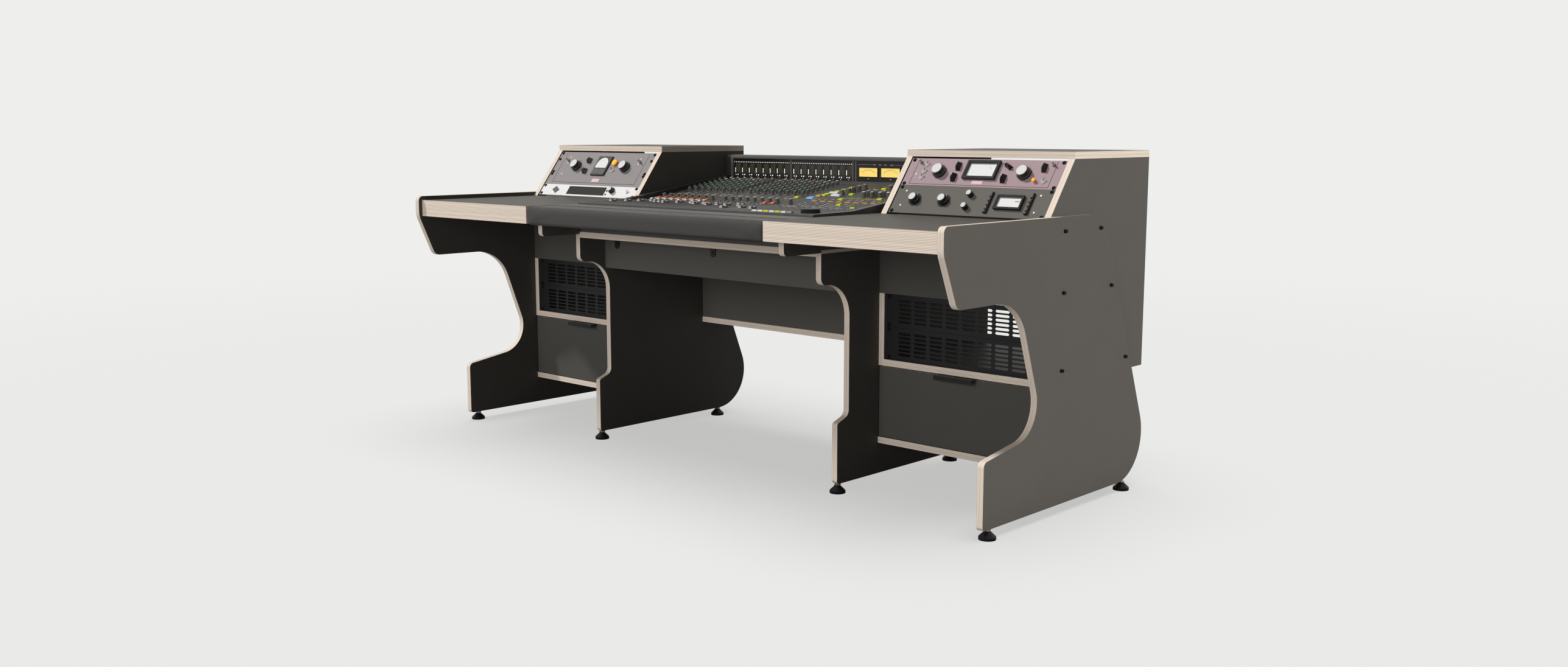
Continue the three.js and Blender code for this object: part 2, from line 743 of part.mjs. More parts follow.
function makeConsole() {
  const middle = roundedOutline([
    [deckFront, deckTop],
    [consoleRear, deckTop],
    [consoleRear, slopeTop],
    [slopeRear, slopeTop],
    [faderRear, faderHeight],
    [consoleFront + consoleRim, faderHeight],
    [consoleFront, rimBottom + consoleRim],
    [consoleFront, rimBottom],
    [deckFront, rimBottom],
  ]);
  const cheek = roundedOutline([
    [consoleFront, rimBottom],
    [consoleRear, rimBottom],
    [consoleRear, slopeTop],
    [bridgeFront - gap, slopeTop],
    [bridgeFront - gap, slopeTop + cheekRearRise],
    [cheekHipDepth, faderHeight + cheekHipRise, cheekHipRadius],
    [cheekBendDepth, faderHeight + cheekRise, cheekBendRadius],
    [consoleFront + consoleRim, faderHeight],
    [consoleFront, rimBottom + consoleRim],
  ]);
  const body = joined(
    alongX(middle, -consoleHalf, consoleHalf),
    alongX(cheek, -consoleHalf, cheekWidth - consoleHalf),
    alongX(cheek, consoleHalf - cheekWidth, consoleHalf));
  const hollow = roundedOutline([
    [deckFront + consoleSheet, deckTop + consoleSheet],
    [consoleRear - consoleSheet, deckTop + consoleSheet],
    [consoleRear - consoleSheet, slopeTop - consoleSheet],
    [slopeRear, slopeTop - consoleSheet],
    [faderRear, faderHeight - consoleSheet],
    [deckFront + consoleSheet, faderHeight - consoleSheet],
  ]);
  const inside = alongX(hollow, consoleSheet - consoleHalf, consoleHalf - consoleSheet);
  const boreFloor = faderHeight - wheelShaft - gap;
  const wheelBore = bar(wheelShaftRadius + gap, boreFloor, faderHeight + overrun, knobSides);
  piece('console_body', cut(body, inside, wheelBore.translate(wheelX, wheelDepth, 0)), consoleGrey);

  const bottom = slopeTop + gap;
  const top = slopeTop + bridgeHeight;
  const ends = roundedOutline([
    [bridgeFront, bottom],
    [bridgeRear, bottom],
    [bridgeRear, top, bridgeTopRadius],
    [bridgeFront, top, bridgeTopRadius],
  ]);
  const screen = roundedOutline([
    [bridgeFront - overrun, bottom + bridgeSill],
    [bridgeFront + bridgeScreenInset, bottom + bridgeSill],
    [bridgeFront + bridgeScreenInset, top - bridgeLip],
    [bridgeFront - overrun, top - bridgeLip],
  ]);
  const bridge = alongX(ends, -consoleHalf, consoleHalf);
  const reach = consoleHalf - bridgeEnd;
  const backFace = bridgeFront + bridgeScreenInset + consoleSheet;
  const wellTop = top - consoleSheet;
  const well = block(-reach, reach, backFace, bridgeRear - consoleSheet, bottom - overrun, wellTop);
  piece('meter_bridge', cut(bridge, alongX(screen, -reach, reach), well), consoleGrey);

  const wheel = turned([
    [0, -wheelShaft],
    [wheelShaftRadius, -wheelShaft],
    [wheelShaftRadius, gap],
    [wheelRadius, gap],
    [wheelRadius, wheelHeight - wheelEdge],
    [wheelRadius - wheelEdge, wheelHeight],
    [0, wheelHeight],
  ], knobSides);
  piece('monitor_wheel', wheel, blackPlastic).position.set(wheelX, wheelDepth, faderHeight);
}

for (const [side, sign] of sides) {
  makeLegs(side, sign);
  makeFeet(side, sign);
  makeWing(side, sign);
  makeCabinet(side, sign);
  makeVents(side, sign);
  makeDrawer(side, sign);
}
makeMiddleBay();
makeArmrest();
makeRightPod();
makeLeftPod();
makeConsole();

const model = new THREE.Group();
model.add(desk);
export default model;
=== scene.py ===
"""Looks of the studio desk. The file is laid out as an add-on and runs as a script.

Lengths are in millimetres unless a name or a unit says otherwise. On the desk, x runs to the right,
y back from the worktop's front edge and z up from the floor.
"""

import functools
import json
import math

import bmesh
import bpy
from bpy.props import FloatProperty, FloatVectorProperty, PointerProperty
from mathutils import Matrix, Vector


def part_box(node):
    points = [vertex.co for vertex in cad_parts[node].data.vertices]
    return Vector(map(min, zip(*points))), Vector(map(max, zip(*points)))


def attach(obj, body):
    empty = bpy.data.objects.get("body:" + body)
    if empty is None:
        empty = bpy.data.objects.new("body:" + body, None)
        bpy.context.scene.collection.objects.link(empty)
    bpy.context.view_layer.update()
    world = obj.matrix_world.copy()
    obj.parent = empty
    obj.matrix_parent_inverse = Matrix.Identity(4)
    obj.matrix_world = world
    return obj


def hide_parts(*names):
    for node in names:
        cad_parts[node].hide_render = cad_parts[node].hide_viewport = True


bl_info = {
    "name": "Studio Desk Looks",
    "version": (1, 0, 0),
    "blender": (4, 5, 0),
    "location": "3D View > Sidebar > Desk",
    "description": "Finishes and fittings of the studio desk",
    "category": "Object",
}

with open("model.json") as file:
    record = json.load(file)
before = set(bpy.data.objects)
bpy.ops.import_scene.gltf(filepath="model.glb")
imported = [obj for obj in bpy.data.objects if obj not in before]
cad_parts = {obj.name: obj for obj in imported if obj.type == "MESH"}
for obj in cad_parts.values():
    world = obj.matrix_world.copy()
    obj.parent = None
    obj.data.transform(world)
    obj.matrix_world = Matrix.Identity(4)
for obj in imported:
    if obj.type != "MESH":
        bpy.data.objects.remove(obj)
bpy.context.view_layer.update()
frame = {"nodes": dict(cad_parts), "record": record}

MM = 0.001
DESK_MIDDLE = 458.25
SIDES = {"left": -1, "right": 1}
POD_MIDDLE = 756
POD_LEAN = math.radians(37)
RACK_HOLES = (-232.55, 232.55)
# A dark and a light layer together, in an 18 mm board and in a 51 mm worktop.
THIN_LAYER, THICK_LAYER = 18 / 6.5, 51 / 14.5
CONSOLE_LEAN = math.atan2(52, 315)
SLOPE_FRONT = 470
FADER_TOP = 745.8
SKIN = 0.6
CHANNELS = 8
FIRST_CHANNELS = (-419.2, -148.5)


# Places -------------------------------------------------------------------------------------------

def local_frame(up, origin):
    """Matrix from a flat drawing in millimetres to the frame: its x runs right, its y along up."""
    right, up = Vector((1, 0, 0)), Vector(up).normalized()
    turned = Matrix((right, up, right.cross(up))).transposed().to_4x4()
    x, y, z = origin
    start = Matrix.Translation(Vector((x, y - DESK_MIDDLE, z)) * MM)
    return start @ turned @ Matrix.Scale(MM, 4)


def spot(x, y, z=0.0, turn=0.0):
    """A place in a drawing, turned about its upright."""
    return Matrix.Translation((x, y, z)) @ Matrix.Rotation(math.radians(turn), 4, "Z")


DESK = local_frame((0, 1, 0), (0, 0, 0))
# Faces of the rack panels: x from the pod's middle, y up the slope from the top screws.
POD_FACES = {side: local_frame((0, math.sin(POD_LEAN), math.cos(POD_LEAN)),
                               (sign * POD_MIDDLE, 550.3803, 880.6318))
             for side, sign in SIDES.items()}
# The console's sloping panel, whose y starts at the foot of the slope, and the skin of its level one.
SLOPE = local_frame((0, math.cos(CONSOLE_LEAN), math.sin(CONSOLE_LEAN)), (0, SLOPE_FRONT, FADER_TOP))
LEVEL = local_frame((0, 1, 0), (0, 0, FADER_TOP + SKIN))
BRIDGE_SCREEN = local_frame((0, 0, 1), (0, 830, 0))


# Nodes --------------------------------------------------------------------------------------------

def add_node(tree, kind, settings, values):
    """A new node: its settings are made first, then the values or links of its sockets."""
    node = tree.nodes.new(kind)
    for name, setting in (settings or {}).items():
        if name == "stops":
            set_stops(node.color_ramp, setting)
        else:
            setattr(node, name, setting)
    for key, value in (values or {}).items():
        value = getattr(value, "socket", value)
        if isinstance(value, bpy.types.NodeSocket):
            tree.links.new(value, node.inputs[key])
        else:
            node.inputs[key].default_value = value
    return node


def set_stops(ramp, stops):
    ramp.interpolation = "CONSTANT"
    while len(ramp.elements) > 1:
        ramp.elements.remove(ramp.elements[-1])
    for index, (place, colour) in enumerate(stops):
        element = ramp.elements.new(place) if index else ramp.elements[0]
        element.position, element.color = place, rgba(colour)


class Wire:
    """A socket of a shader node, so that shader maths reads as arithmetic."""

    def __init__(self, shader, socket):
        self.shader, self.socket = shader, socket

    def maths(self, operation, *values):
        return self.shader.node("ShaderNodeMath", {"operation": operation}, dict(enumerate(values)))

    def __add__(self, other):
        return self.maths("ADD", self, other)

    def __sub__(self, other):
        return self.maths("SUBTRACT", self, other)

    def __rsub__(self, other):
        return self.maths("SUBTRACT", other, self)

    def __mul__(self, other):
        return self.maths("MULTIPLY", self, other)

    def __truediv__(self, other):
        return self.maths("DIVIDE", self, other)

    def __mod__(self, other):
        return self.maths("FLOORED_MODULO", self, other)

    def __gt__(self, other):
        return self.maths("GREATER_THAN", self, other)

    def __lt__(self, other):
        return self.maths("LESS_THAN", self, other)

    def __abs__(self):
        return self.maths("ABSOLUTE", self)

    __radd__ = __add__
    __rmul__ = __mul__


class Shader:
    """The nodes of a material or of the world, cleared first and then added one by one."""

    def __init__(self, owner):
        owner.use_nodes = True
        self.owner, self.tree = owner, owner.node_tree
        self.tree.nodes.clear()

    def node(self, kind, settings=None, values=None, outlet=0):
        node = add_node(self.tree, kind, settings, values)
        return Wire(self, node.outputs[outlet]) if len(node.outputs) else node

    def coordinates(self, outlet="Object"):
        return self.node("ShaderNodeTexCoord", outlet=outlet)

    def part(self, vector, axis):
        return self.node("ShaderNodeSeparateXYZ", values={0: vector}, outlet=axis)

    def place(self, axis):
        """The piece's own coordinate along X, Y or Z, in millimetres."""
        return self.part(self.coordinates(), axis) * 1000

    def facing(self, axis):
        """How far the surface faces along an axis of the piece, from 0 to 1."""
        return abs(self.part(self.coordinates("Normal"), axis))

    def noise(self, scale, detail=2.0, stretch=(1, 1, 1)):
        """Even noise about one half; the scale counts its grains along a metre."""
        point = self.node("ShaderNodeMapping", values={"Vector": self.coordinates(), "Scale": stretch})
        return self.node("ShaderNodeTexNoise",
                         values={"Vector": point, "Scale": scale, "Detail": detail})

    def speck(self):
        """The fine even grain of paint."""
        return self.noise(1300, 1.0)

    def mark(self, name):
        return self.node("ShaderNodeAttribute", {"attribute_name": name}, outlet="Fac")

    def mix(self, share, first, second):
        """A colour between two colours."""
        colours = [colour if isinstance(colour, Wire) else rgba(colour) for colour in (first, second)]
        return self.node("ShaderNodeMix", {"data_type": "RGBA"},
                         {0: share, 6: colours[0], 7: colours[1]}, outlet=2)

    def pick(self, name, colours):
        """The colour whose number, counted from 0, the mesh carries under a name."""
        count = len(colours)
        stops = [((index - 0.5) / count if index else 0.0, colour)
                 for index, colour in enumerate(colours)]
        return self.node("ShaderNodeValToRGB", {"stops": stops}, {0: self.mark(name) / count})

    def bump(self, height, distance):
        """A relief on the surface; the distance is in millimetres."""
        return self.node("ShaderNodeBump", values={"Height": height, "Distance": distance * MM})

    def surface(self, colour, roughness, **values):
        """Ends the material with its shader and gives it back."""
        inputs = {name.replace("_", " "): value for name, value in values.items()}
        inputs["Base Color"] = colour if isinstance(colour, Wire) else rgba(colour)
        shader = self.node("ShaderNodeBsdfPrincipled", values={**inputs, "Roughness": roughness})
        self.node("ShaderNodeOutputMaterial", values={"Surface": shader})
        return self.owner


def new_finish(name):
    return Shader(bpy.data.materials.new(name))


def rgba(colour):
    return (*colour[:3], 1.0)


def times(colour, factor):
    return [value * factor for value in colour]


def sheen_of(red, green, blue):
    """A colour on a screen, from 0 to 255, as the light that it stands for."""
    levels = (red / 255, green / 255, blue / 255)
    return tuple(v / 12.92 if v <= 0.04045 else ((v + 0.055) / 1.055) ** 2.4 for v in levels)


def grey_of(level):
    return sheen_of(level, level, level)


def settings():
    return bpy.context.scene.desk_looks


# Finishes -----------------------------------------------------------------------------------------

@functools.cache
def ply_board(axis, start, kind):
    """Laminated ply: laminate on the faces along an axis, bare layers on every edge."""
    look, edge_roughness = settings().boards, 0.62
    finish = new_finish(f"ply {kind} {axis} {start:g}")
    face = finish.facing(axis) > 0.7
    grain = finish.noise(420, 3.0)
    colour = getattr(look, kind)
    cloudy = finish.noise(9, 1.0)
    laminate = finish.mix(cloudy * 0.6 + grain * 0.4, times(colour, 0.93), times(colour, 1.07))

    layer = THICK_LAYER if kind == "worktop" else THIN_LAYER
    depth = (finish.place(axis) - start) / layer
    within = depth % 1.0
    line = within < look.dark_share
    number = depth - within
    tone = finish.node("ShaderNodeTexWhiteNoise", {"noise_dimensions": "1D"}, {"W": number})
    streaks = finish.noise(900, 1.0, [1 if name == axis else 0.02 for name in "XYZ"])
    light = finish.mix(tone * 0.6 + streaks * 0.3, look.ply_light, times(look.ply_light, 0.86))
    dark = finish.mix(tone, look.ply_dark, times(look.ply_dark, 0.78))

    board = finish.mix(face, finish.mix(line, light, dark), laminate)
    rough = face * (look.gloss - edge_roughness) + edge_roughness
    relief = finish.bump(grain * face + line * (1 - face) * -0.5, 0.05)
    return finish.surface(board, rough, Normal=relief, Specular_IOR_Level=look.sheen)


@functools.cache
def leather():
    look = settings().armrest.leather
    finish = new_finish("armrest leather")
    cells = finish.node("ShaderNodeTexVoronoi", {"feature": "DISTANCE_TO_EDGE"},
                        {"Vector": finish.coordinates(), "Scale": 750.0})
    worn = finish.noise(14)
    return finish.surface(finish.mix(worn, look, times(look, 1.35)), 0.5 + worn * 0.12,
                          Normal=finish.bump(cells, 0.25), Coat_Weight=0.08, Coat_Roughness=0.4)


@functools.cache
def paint(name, colour, roughness=0.45, grain=0.05, sheen=0.25):
    """Painted or moulded skin with a fine even grain."""
    finish = new_finish(name)
    speck = finish.speck()
    tone = finish.mix(speck, times(colour, 0.94), times(colour, 1.06))
    return finish.surface(tone, roughness, Normal=finish.bump(speck, grain), Specular_IOR_Level=sheen)


@functools.cache
def case_paint():
    """Console paint with a fine grain, and the left pod's shadow painted dark on the rim beside it."""
    look = settings().console.case
    finish = new_finish("console case paint")
    speck = finish.speck()
    tone = finish.mix(speck, times(look, 0.92), times(look, 1.08))
    # Painted shadow: the rim beside the left pod is darkened, as the pod's shadow that falls on it.
    left_pod_shadow = (finish.place("X") < -454.5) * (finish.place("Y") > SLOPE_FRONT - DESK_MIDDLE - 30)
    return finish.surface(finish.mix(left_pod_shadow, tone, times(look, 0.3)), 0.5,
                          Normal=finish.bump(speck, 0.1), Specular_IOR_Level=0.2)


@functools.cache
def silver():
    finish = new_finish("bright metal")
    return finish.surface((0.62, 0.62, 0.61), finish.noise(600, 1.0) * 0.1 + 0.23, Metallic=1.0)


@functools.cache
def lit(name, colour, strength):
    """A lamp's lens or a lit scale."""
    return new_finish(name).surface(colour, 0.35, Emission_Color=rgba(colour),
                                    Emission_Strength=strength)


@functools.cache
def marked(name, *colours, roughness=0.45):
    """A skin whose colour goes by the marks of the faces."""
    finish = new_finish(name)
    return finish.surface(finish.pick("mark", colours), roughness,
                          Normal=finish.bump(finish.speck(), 0.03))


@functools.cache
def two_toned(name, body, *caps, roughness=0.42):
    """Items with a body, a cap in the colour of the item's tone (mark 1) and a line (mark 2)."""
    finish = new_finish(name)
    colour = finish.mix(finish.mark("mark") > 0.5, body, finish.pick("tone", caps))
    pale_line = (0.75, 0.75, 0.74)
    return finish.surface(finish.mix(finish.mark("mark") > 1.5, colour, pale_line), roughness)


def black_paint():
    return paint("black powder coat", tuple(settings().fittings.black), 0.5, 0.12)


def black_steel():
    return paint("blackened steel", grey_of(18), 0.32)


def black_moulding():
    return paint("black moulding", grey_of(22), 0.38)


def white_print():
    return paint("white print", sheen_of(232, 232, 230), 0.5, 0.0)


def dark_print():
    return paint("dark print", sheen_of(52, 46, 48), 0.6, 0.0)


def meter_scale():
    return marked("meter scale", sheen_of(216, 217, 215), sheen_of(128, 104, 104),
                  sheen_of(206, 84, 96), sheen_of(190, 190, 188))


def pointer_black():
    # Black body, and a pale colour for the painted highlight along the ridge.
    return marked("pointer knob black", grey_of(14), sheen_of(186, 184, 180), roughness=0.3)


def post_metal():
    return two_toned("metal post", (0.42, 0.41, 0.41), sheen_of(44, 32, 36), roughness=0.3)


def knob_skin():
    """Channel knobs: grey bodies and caps in white, two greys, green or teal."""
    return two_toned("channel knob", sheen_of(92, 90, 84), sheen_of(206, 205, 202),
                     sheen_of(150, 149, 146), sheen_of(84, 82, 80), sheen_of(48, 128, 92),
                     tuple(settings().console.teal), roughness=0.45)


WHITE, ORANGE_RED, GREY, DARK, YELLOW_GREEN, AMBER, BLUE, OLIVE = range(8)


def key_skin():
    """Keys in the eight tones above."""
    return two_toned("console key", sheen_of(40, 39, 38), sheen_of(212, 210, 206),
                     sheen_of(232, 112, 76), sheen_of(132, 130, 127), sheen_of(92, 90, 87),
                     sheen_of(186, 196, 24), sheen_of(214, 150, 54), sheen_of(108, 168, 226),
                     sheen_of(150, 146, 62))


# Meshes -------------------------------------------------------------------------------------------

class Shape:
    """A mesh in the making: closed solids, each with a mark for its finish."""

    def __init__(self):
        self.mesh = bmesh.new()
        self.marks = self.mesh.faces.layers.float.new("mark")

    def vertex(self, point, where):
        return self.mesh.verts.new(where @ Vector(point) if where else point)

    def face(self, verts, mark):
        self.mesh.faces.new(verts)[self.marks] = mark

    def solid(self, points, loops, mark, where):
        verts = [self.vertex(point, where) for point in points]
        for loop in loops:
            self.face([verts[index] for index in loop], mark)
        return self

    def block(self, low, high, mark=0.0, where=None, draw_in=0.0, draw_in_y=None):
        """A box between two corners; its top is drawn in on all four sides."""
        (x0, y0, z0), (x1, y1, z1), d = low, high, draw_in
        e = d if draw_in_y is None else draw_in_y
        points = [(x0, y0, z0), (x1, y0, z0), (x1, y1, z0), (x0, y1, z0), (x0 + d, y0 + e, z1),
                  (x1 - d, y0 + e, z1), (x1 - d, y1 - e, z1), (x0 + d, y1 - e, z1)]
        loops = [(3, 2, 1, 0), (4, 5, 6, 7), (0, 1, 5, 4), (1, 2, 6, 5), (2, 3, 7, 6), (3, 0, 4, 7)]
        return self.solid(points, loops, mark, where)

    def lathe(self, profile, sides=24, where=None, marks=None):
        """A turned solid about z: a profile of radius and height, from its foot to its top.

        marks gives each band between two profile points its mark, the top disc's last.
        """
        turns = [2 * math.pi * step / sides for step in range(sides)]
        rings = [[self.vertex((radius * math.cos(turn), radius * math.sin(turn), height), where)
                  for turn in (turns if radius else turns[:1])] for radius, height in profile]
        marks = marks or [0.0] * (len(profile) + 1)
        if len(rings[0]) > 1:
            self.face(rings[0][::-1], marks[0])
        for number, (low, high) in enumerate(zip(rings, rings[1:])):
            for step in range(sides):
                after = (step + 1) % sides
                loop = [low[step % len(low)], low[after % len(low)],
                        high[after % len(high)], high[step % len(high)]]
                self.face(list(dict.fromkeys(loop)), marks[number])
        if len(rings[-1]) > 1:
            self.face(rings[-1], marks[-1])
        return self

    def prism(self, outline, low, high, mark=0.0, where=None):
        """An outline in x and y, drawn anticlockwise, carried from one height to another."""
        count = len(outline)
        points = [(x, y, z) for z in (low, high) for x, y in outline]
        loops = [tuple(range(count))[::-1], tuple(range(count, 2 * count))]
        loops += [(i, (i + 1) % count, (i + 1) % count + count, i + count) for i in range(count)]
        return self.solid(points, loops, mark, where)

    def frame(self, low, high, wall, mark=0.0, where=None):
        """Four bars round an opening, between two corners."""
        (x0, y0, z0), (x1, y1, z1) = low, high
        for a, b, c, d in ((x0, y0, x1, y0 + wall), (x0, y1 - wall, x1, y1),
                           (x0, y0 + wall, x0 + wall, y1 - wall),
                           (x1 - wall, y0 + wall, x1, y1 - wall)):
            self.block((a, b, z0), (c, d, z1), mark, where)
        return self

    def band(self, radius, width, start, end, z, centre=(0, 0), mark=0.0, where=None):
        """A thin curved mark on a dial or scale."""
        outer = arc_points(radius + width / 2, start, end, 18, centre)
        inner = arc_points(radius - width / 2, start, end, 18, centre)
        return self.prism(outer + inner[::-1], z, z + 0.2, mark, where)

    def done(self, name, where=None, smooth=35):
        """The finished mesh, moved to its place in the frame."""
        mesh = bpy.data.meshes.new(name)
        if where is not None:
            bmesh.ops.transform(self.mesh, matrix=where, verts=self.mesh.verts)
        self.mesh.to_mesh(mesh)
        self.mesh.free()
        mesh.shade_smooth()
        mesh.set_sharp_from_angle(angle=math.radians(smooth))
        return mesh


def arc_points(radius, start, end, steps, centre=(0, 0)):
    angles = [math.radians(start + (end - start) * step / steps) for step in range(steps + 1)]
    return [(centre[0] + radius * math.cos(a), centre[1] + radius * math.sin(a)) for a in angles]


# Geometry nodes -----------------------------------------------------------------------------------

class Growth:
    """A Geometry Nodes tree with named inputs, whose result is taken as a plain mesh."""

    def __init__(self, name, **inputs):
        self.tree = bpy.data.node_groups.new(name, "GeometryNodeTree")
        sockets = self.tree.interface
        sockets.new_socket("Geometry", in_out="INPUT", socket_type="NodeSocketGeometry")
        self.names = {}
        for label, kind in {"Item": "Object", "Finish": "Material", **inputs}.items():
            made = sockets.new_socket(label, in_out="INPUT", socket_type="NodeSocket" + kind)
            self.names[label] = made.identifier
        sockets.new_socket("Geometry", in_out="OUTPUT", socket_type="NodeSocketGeometry")
        self.start, self.end = self.node("NodeGroupInput"), self.node("NodeGroupOutput")

    def node(self, kind, settings=None, values=None):
        return add_node(self.tree, kind, settings, values)

    def given(self, label):
        return self.start.outputs[label]

    def close(self, points, **values):
        """Ends the tree: the item on every point, as real geometry in its finish."""
        item = self.node("GeometryNodeObjectInfo", values={"Object": self.given("Item")})
        placed = self.node("GeometryNodeInstanceOnPoints", values={
            "Points": points, "Instance": item.outputs["Geometry"], **values})
        real = self.node("GeometryNodeRealizeInstances", values={"Geometry": placed.outputs[0]})
        painted = self.node("GeometryNodeSetMaterial", values={
            "Geometry": real.outputs[0], "Material": self.given("Finish")})
        self.tree.links.new(painted.outputs[0], self.end.inputs[0])
        return self

    def grow(self, name, mesh, shape, finish, where, values):
        """The tree's result on a mesh; the item that it repeats is removed again."""
        item = bpy.data.objects.new(name + " item", shape.done(name + " item"))
        holder = bpy.data.objects.new(name, mesh)
        for thing in (item, holder):
            bpy.context.scene.collection.objects.link(thing)
        modifier = holder.modifiers.new(self.tree.name, "NODES")
        modifier.node_group = self.tree
        for label, value in {"Item": item, "Finish": finish, **values}.items():
            modifier[self.names[label]] = value
        made = evaluated_mesh(holder)
        holder.modifiers.remove(modifier)
        for thing in (item, holder):
            bpy.data.objects.remove(thing)
        made.materials.clear()
        made.materials.append(finish)
        made.transform(where)
        made.name = name
        return made


def evaluated_mesh(thing):
    """An object's mesh with its modifiers worked in."""
    graph = bpy.context.evaluated_depsgraph_get()
    return bpy.data.meshes.new_from_object(thing.evaluated_get(graph), depsgraph=graph)


@functools.cache
def set_out():
    """One item on every given point, turned and sized by the point's own numbers."""
    growth = Growth("Set out items")
    turn = growth.node("GeometryNodeInputNamedAttribute", {"data_type": "FLOAT_VECTOR"}, {0: "turn"})
    size = growth.node("GeometryNodeInputNamedAttribute", {"data_type": "FLOAT"}, {0: "size"})
    return growth.close(growth.given("Geometry"), Rotation=turn.outputs[0], Scale=size.outputs[0])


@functools.cache
def in_rows():
    """One item at every crossing of columns and rows, with a tone drawn for each from a fixed seed."""
    growth = Growth("Rows of items", **{
        "Columns": "Int", "Rows": "Int", "Column pitch": "Float", "Row pitch": "Float",
        "Lowest tone": "Int", "Highest tone": "Int", "Seed": "Int"})

    def span(count, pitch):
        less = growth.node("ShaderNodeMath", {"operation": "SUBTRACT"},
                           {0: growth.given(count), 1: 1.0})
        return growth.node("ShaderNodeMath", {"operation": "MULTIPLY"},
                           {0: less.outputs[0], 1: growth.given(pitch)}).outputs[0]

    grid = growth.node("GeometryNodeMeshGrid", values={
        "Size X": span("Columns", "Column pitch"), "Size Y": span("Rows", "Row pitch"),
        "Vertices X": growth.given("Columns"), "Vertices Y": growth.given("Rows")})
    tone = growth.node("FunctionNodeRandomValue", {"data_type": "INT"})
    for label, socket in (("Lowest tone", "Min"), ("Highest tone", "Max"), ("Seed", "Seed")):
        inlet = next(s for s in tone.inputs if s.name == socket and s.enabled)
        growth.tree.links.new(growth.given(label), inlet)
    kept = growth.node("GeometryNodeStoreNamedAttribute", {"data_type": "FLOAT", "domain": "POINT"}, {
        "Geometry": grid.outputs["Mesh"], "Name": "tone",
        "Value": next(s for s in tone.outputs if s.enabled)})
    return growth.close(kept.outputs[0])


def repeats(name, shape, places, finish, where):
    """The item at each place: x, y, z, then turns about x, y, z in degrees, its size and its tone."""
    places = [(*place, *(0, 0, 0, 1, 0)[len(place) - 3:]) for place in places]
    points = bpy.data.meshes.new(name)
    points.from_pydata([place[:3] for place in places], [], [])
    turns = points.attributes.new("turn", "FLOAT_VECTOR", "POINT")
    turns.data.foreach_set("vector", [math.radians(v) for place in places for v in place[3:6]])
    for label, column in (("size", 6), ("tone", 7)):
        numbers = points.attributes.new(label, "FLOAT", "POINT")
        numbers.data.foreach_set("value", [place[column] for place in places])
    return set_out().grow(name, points, shape, finish, where, {})


def toned(x, y, tone, z=SKIN):
    """A place for an unturned item in one of its finish's tones."""
    return (x, y, z, 0, 0, 0, 1, tone)


def rows(shape, finish, where, columns, pitch, lines=1, step=1, tones=(0, 0), seed=1):
    """The item in columns and rows about the middle of a place."""
    return in_rows().grow("rows", bpy.data.meshes.new("rows"), shape, finish, where, {
        "Columns": columns, "Rows": lines, "Column pitch": float(pitch), "Row pitch": float(step),
        "Lowest tone": tones[0], "Highest tone": tones[1], "Seed": seed})


# Pieces -------------------------------------------------------------------------------------------

def dress(name, finish):
    """Gives a CAD node its finish."""
    data = frame["nodes"][name].data
    data.materials.clear()
    data.materials.append(finish)


def piece(name, mesh, body="desk", stands_for=()):
    """A named object of the desk that moves with one of its bodies."""
    thing = bpy.data.objects.new(name, mesh)
    bpy.context.scene.collection.objects.link(thing)
    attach(thing, body)
    if stands_for:
        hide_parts(*stands_for)


def fit(name, shape, finish, where, places=None):
    """A named piece: one shape, or the shape at each of some places."""
    if places:
        mesh = repeats(name, shape, places, finish, where)
    else:
        mesh = shape.done(name, where)
        mesh.materials.append(finish)
    piece(name, mesh)


def join(name, meshes):
    """Several meshes of one finish as one named piece."""
    joined = bmesh.new()
    for mesh in meshes:
        joined.from_mesh(mesh)
    result = bpy.data.meshes.new(name)
    joined.to_mesh(result)
    joined.free()
    for material in meshes[0].materials:
        result.materials.append(material)
    result.shade_smooth()
    result.set_sharp_from_angle(angle=math.radians(35))
    piece(name, result)


# Small parts --------------------------------------------------------------------------------------

def bolt_head(radius, height):
    socket = radius * 0.5
    return Shape().lathe([(radius, 0), (radius, height * 0.8), (radius * 0.88, height),
                          (socket, height), (socket, height * 0.5), (0, height * 0.5)], 16)


def panel_bracket():
    """An angle bracket: a rounded leaf down the panel, a leaf under the deck and a bolt head."""
    upright = Matrix(((1, 0, 0, 0), (0, 0, -1, 0), (0, 1, 0, 0), (0, 0, 0, 1)))
    leaf = arc_points(10, 180, 360, 10, (0, 10)) + [(10, 36), (-10, 36)]
    shape = Shape().prism(leaf, 0.2, 3.2, 0.0, upright).block((-10, -24, 33.5), (10, -3, 36.5))
    return shape.lathe([(3.6, 3.2), (3.6, 4.6), (2.6, 5.4), (0, 5.4)], 12, upright @ spot(0, 13))


def pan_screw(radius):
    """A rack screw: a domed head with a round hollow, on a washer."""
    shape = Shape().lathe([(radius, 0), (radius, radius * 0.3), (radius * 0.72, radius * 0.62),
                           (radius * 0.3, radius * 0.72), (radius * 0.24, radius * 0.35),
                           (0, radius * 0.35)], 14)
    washer = radius * 1.2
    return shape.lathe([(washer, -0.2), (washer, 0.5), (radius * 0.9, 0.5), (0, 0.5)], 14)


def pointer_knob(width, length, height):
    """A wedge-shaped bar knob with a pale line along its ridge as a painted highlight."""
    half, reach, ridge = width / 2, length / 2, length * 0.3
    shape = Shape().block((-half, -reach, 0), (half, reach, height), draw_in=half - 0.9,
                          draw_in_y=reach - ridge)
    # The pale ridge line is a painted highlight where the glossy ridge catches the light.
    return shape.block((-0.7, ridge * 0.1, height), (0.7, ridge, height + 0.25), 1.0)


def toggle(lean_up, lean_right, lever=9):
    """A bat switch: washer, nut and a short lever that leans."""
    shape = Shape().lathe([(7.4, 0), (7.4, 1.6), (6.6, 2.2), (0, 2.2)], 24)
    shape.lathe([(4.4, 2), (4.4, 3.8), (3.6, 4.2), (0, 4.2)], 6)
    lean = Matrix.Translation((0, 0, 3)) @ Matrix.Rotation(math.radians(-lean_up), 4, "X") \
        @ Matrix.Rotation(math.radians(lean_right), 4, "Y")
    return shape.lathe([(1.2, 0), (1.6, lever * 0.5), (2.3, lever * 0.85), (2.0, lever * 0.97),
                        (0.9, lever), (0, lever)], 12, lean)


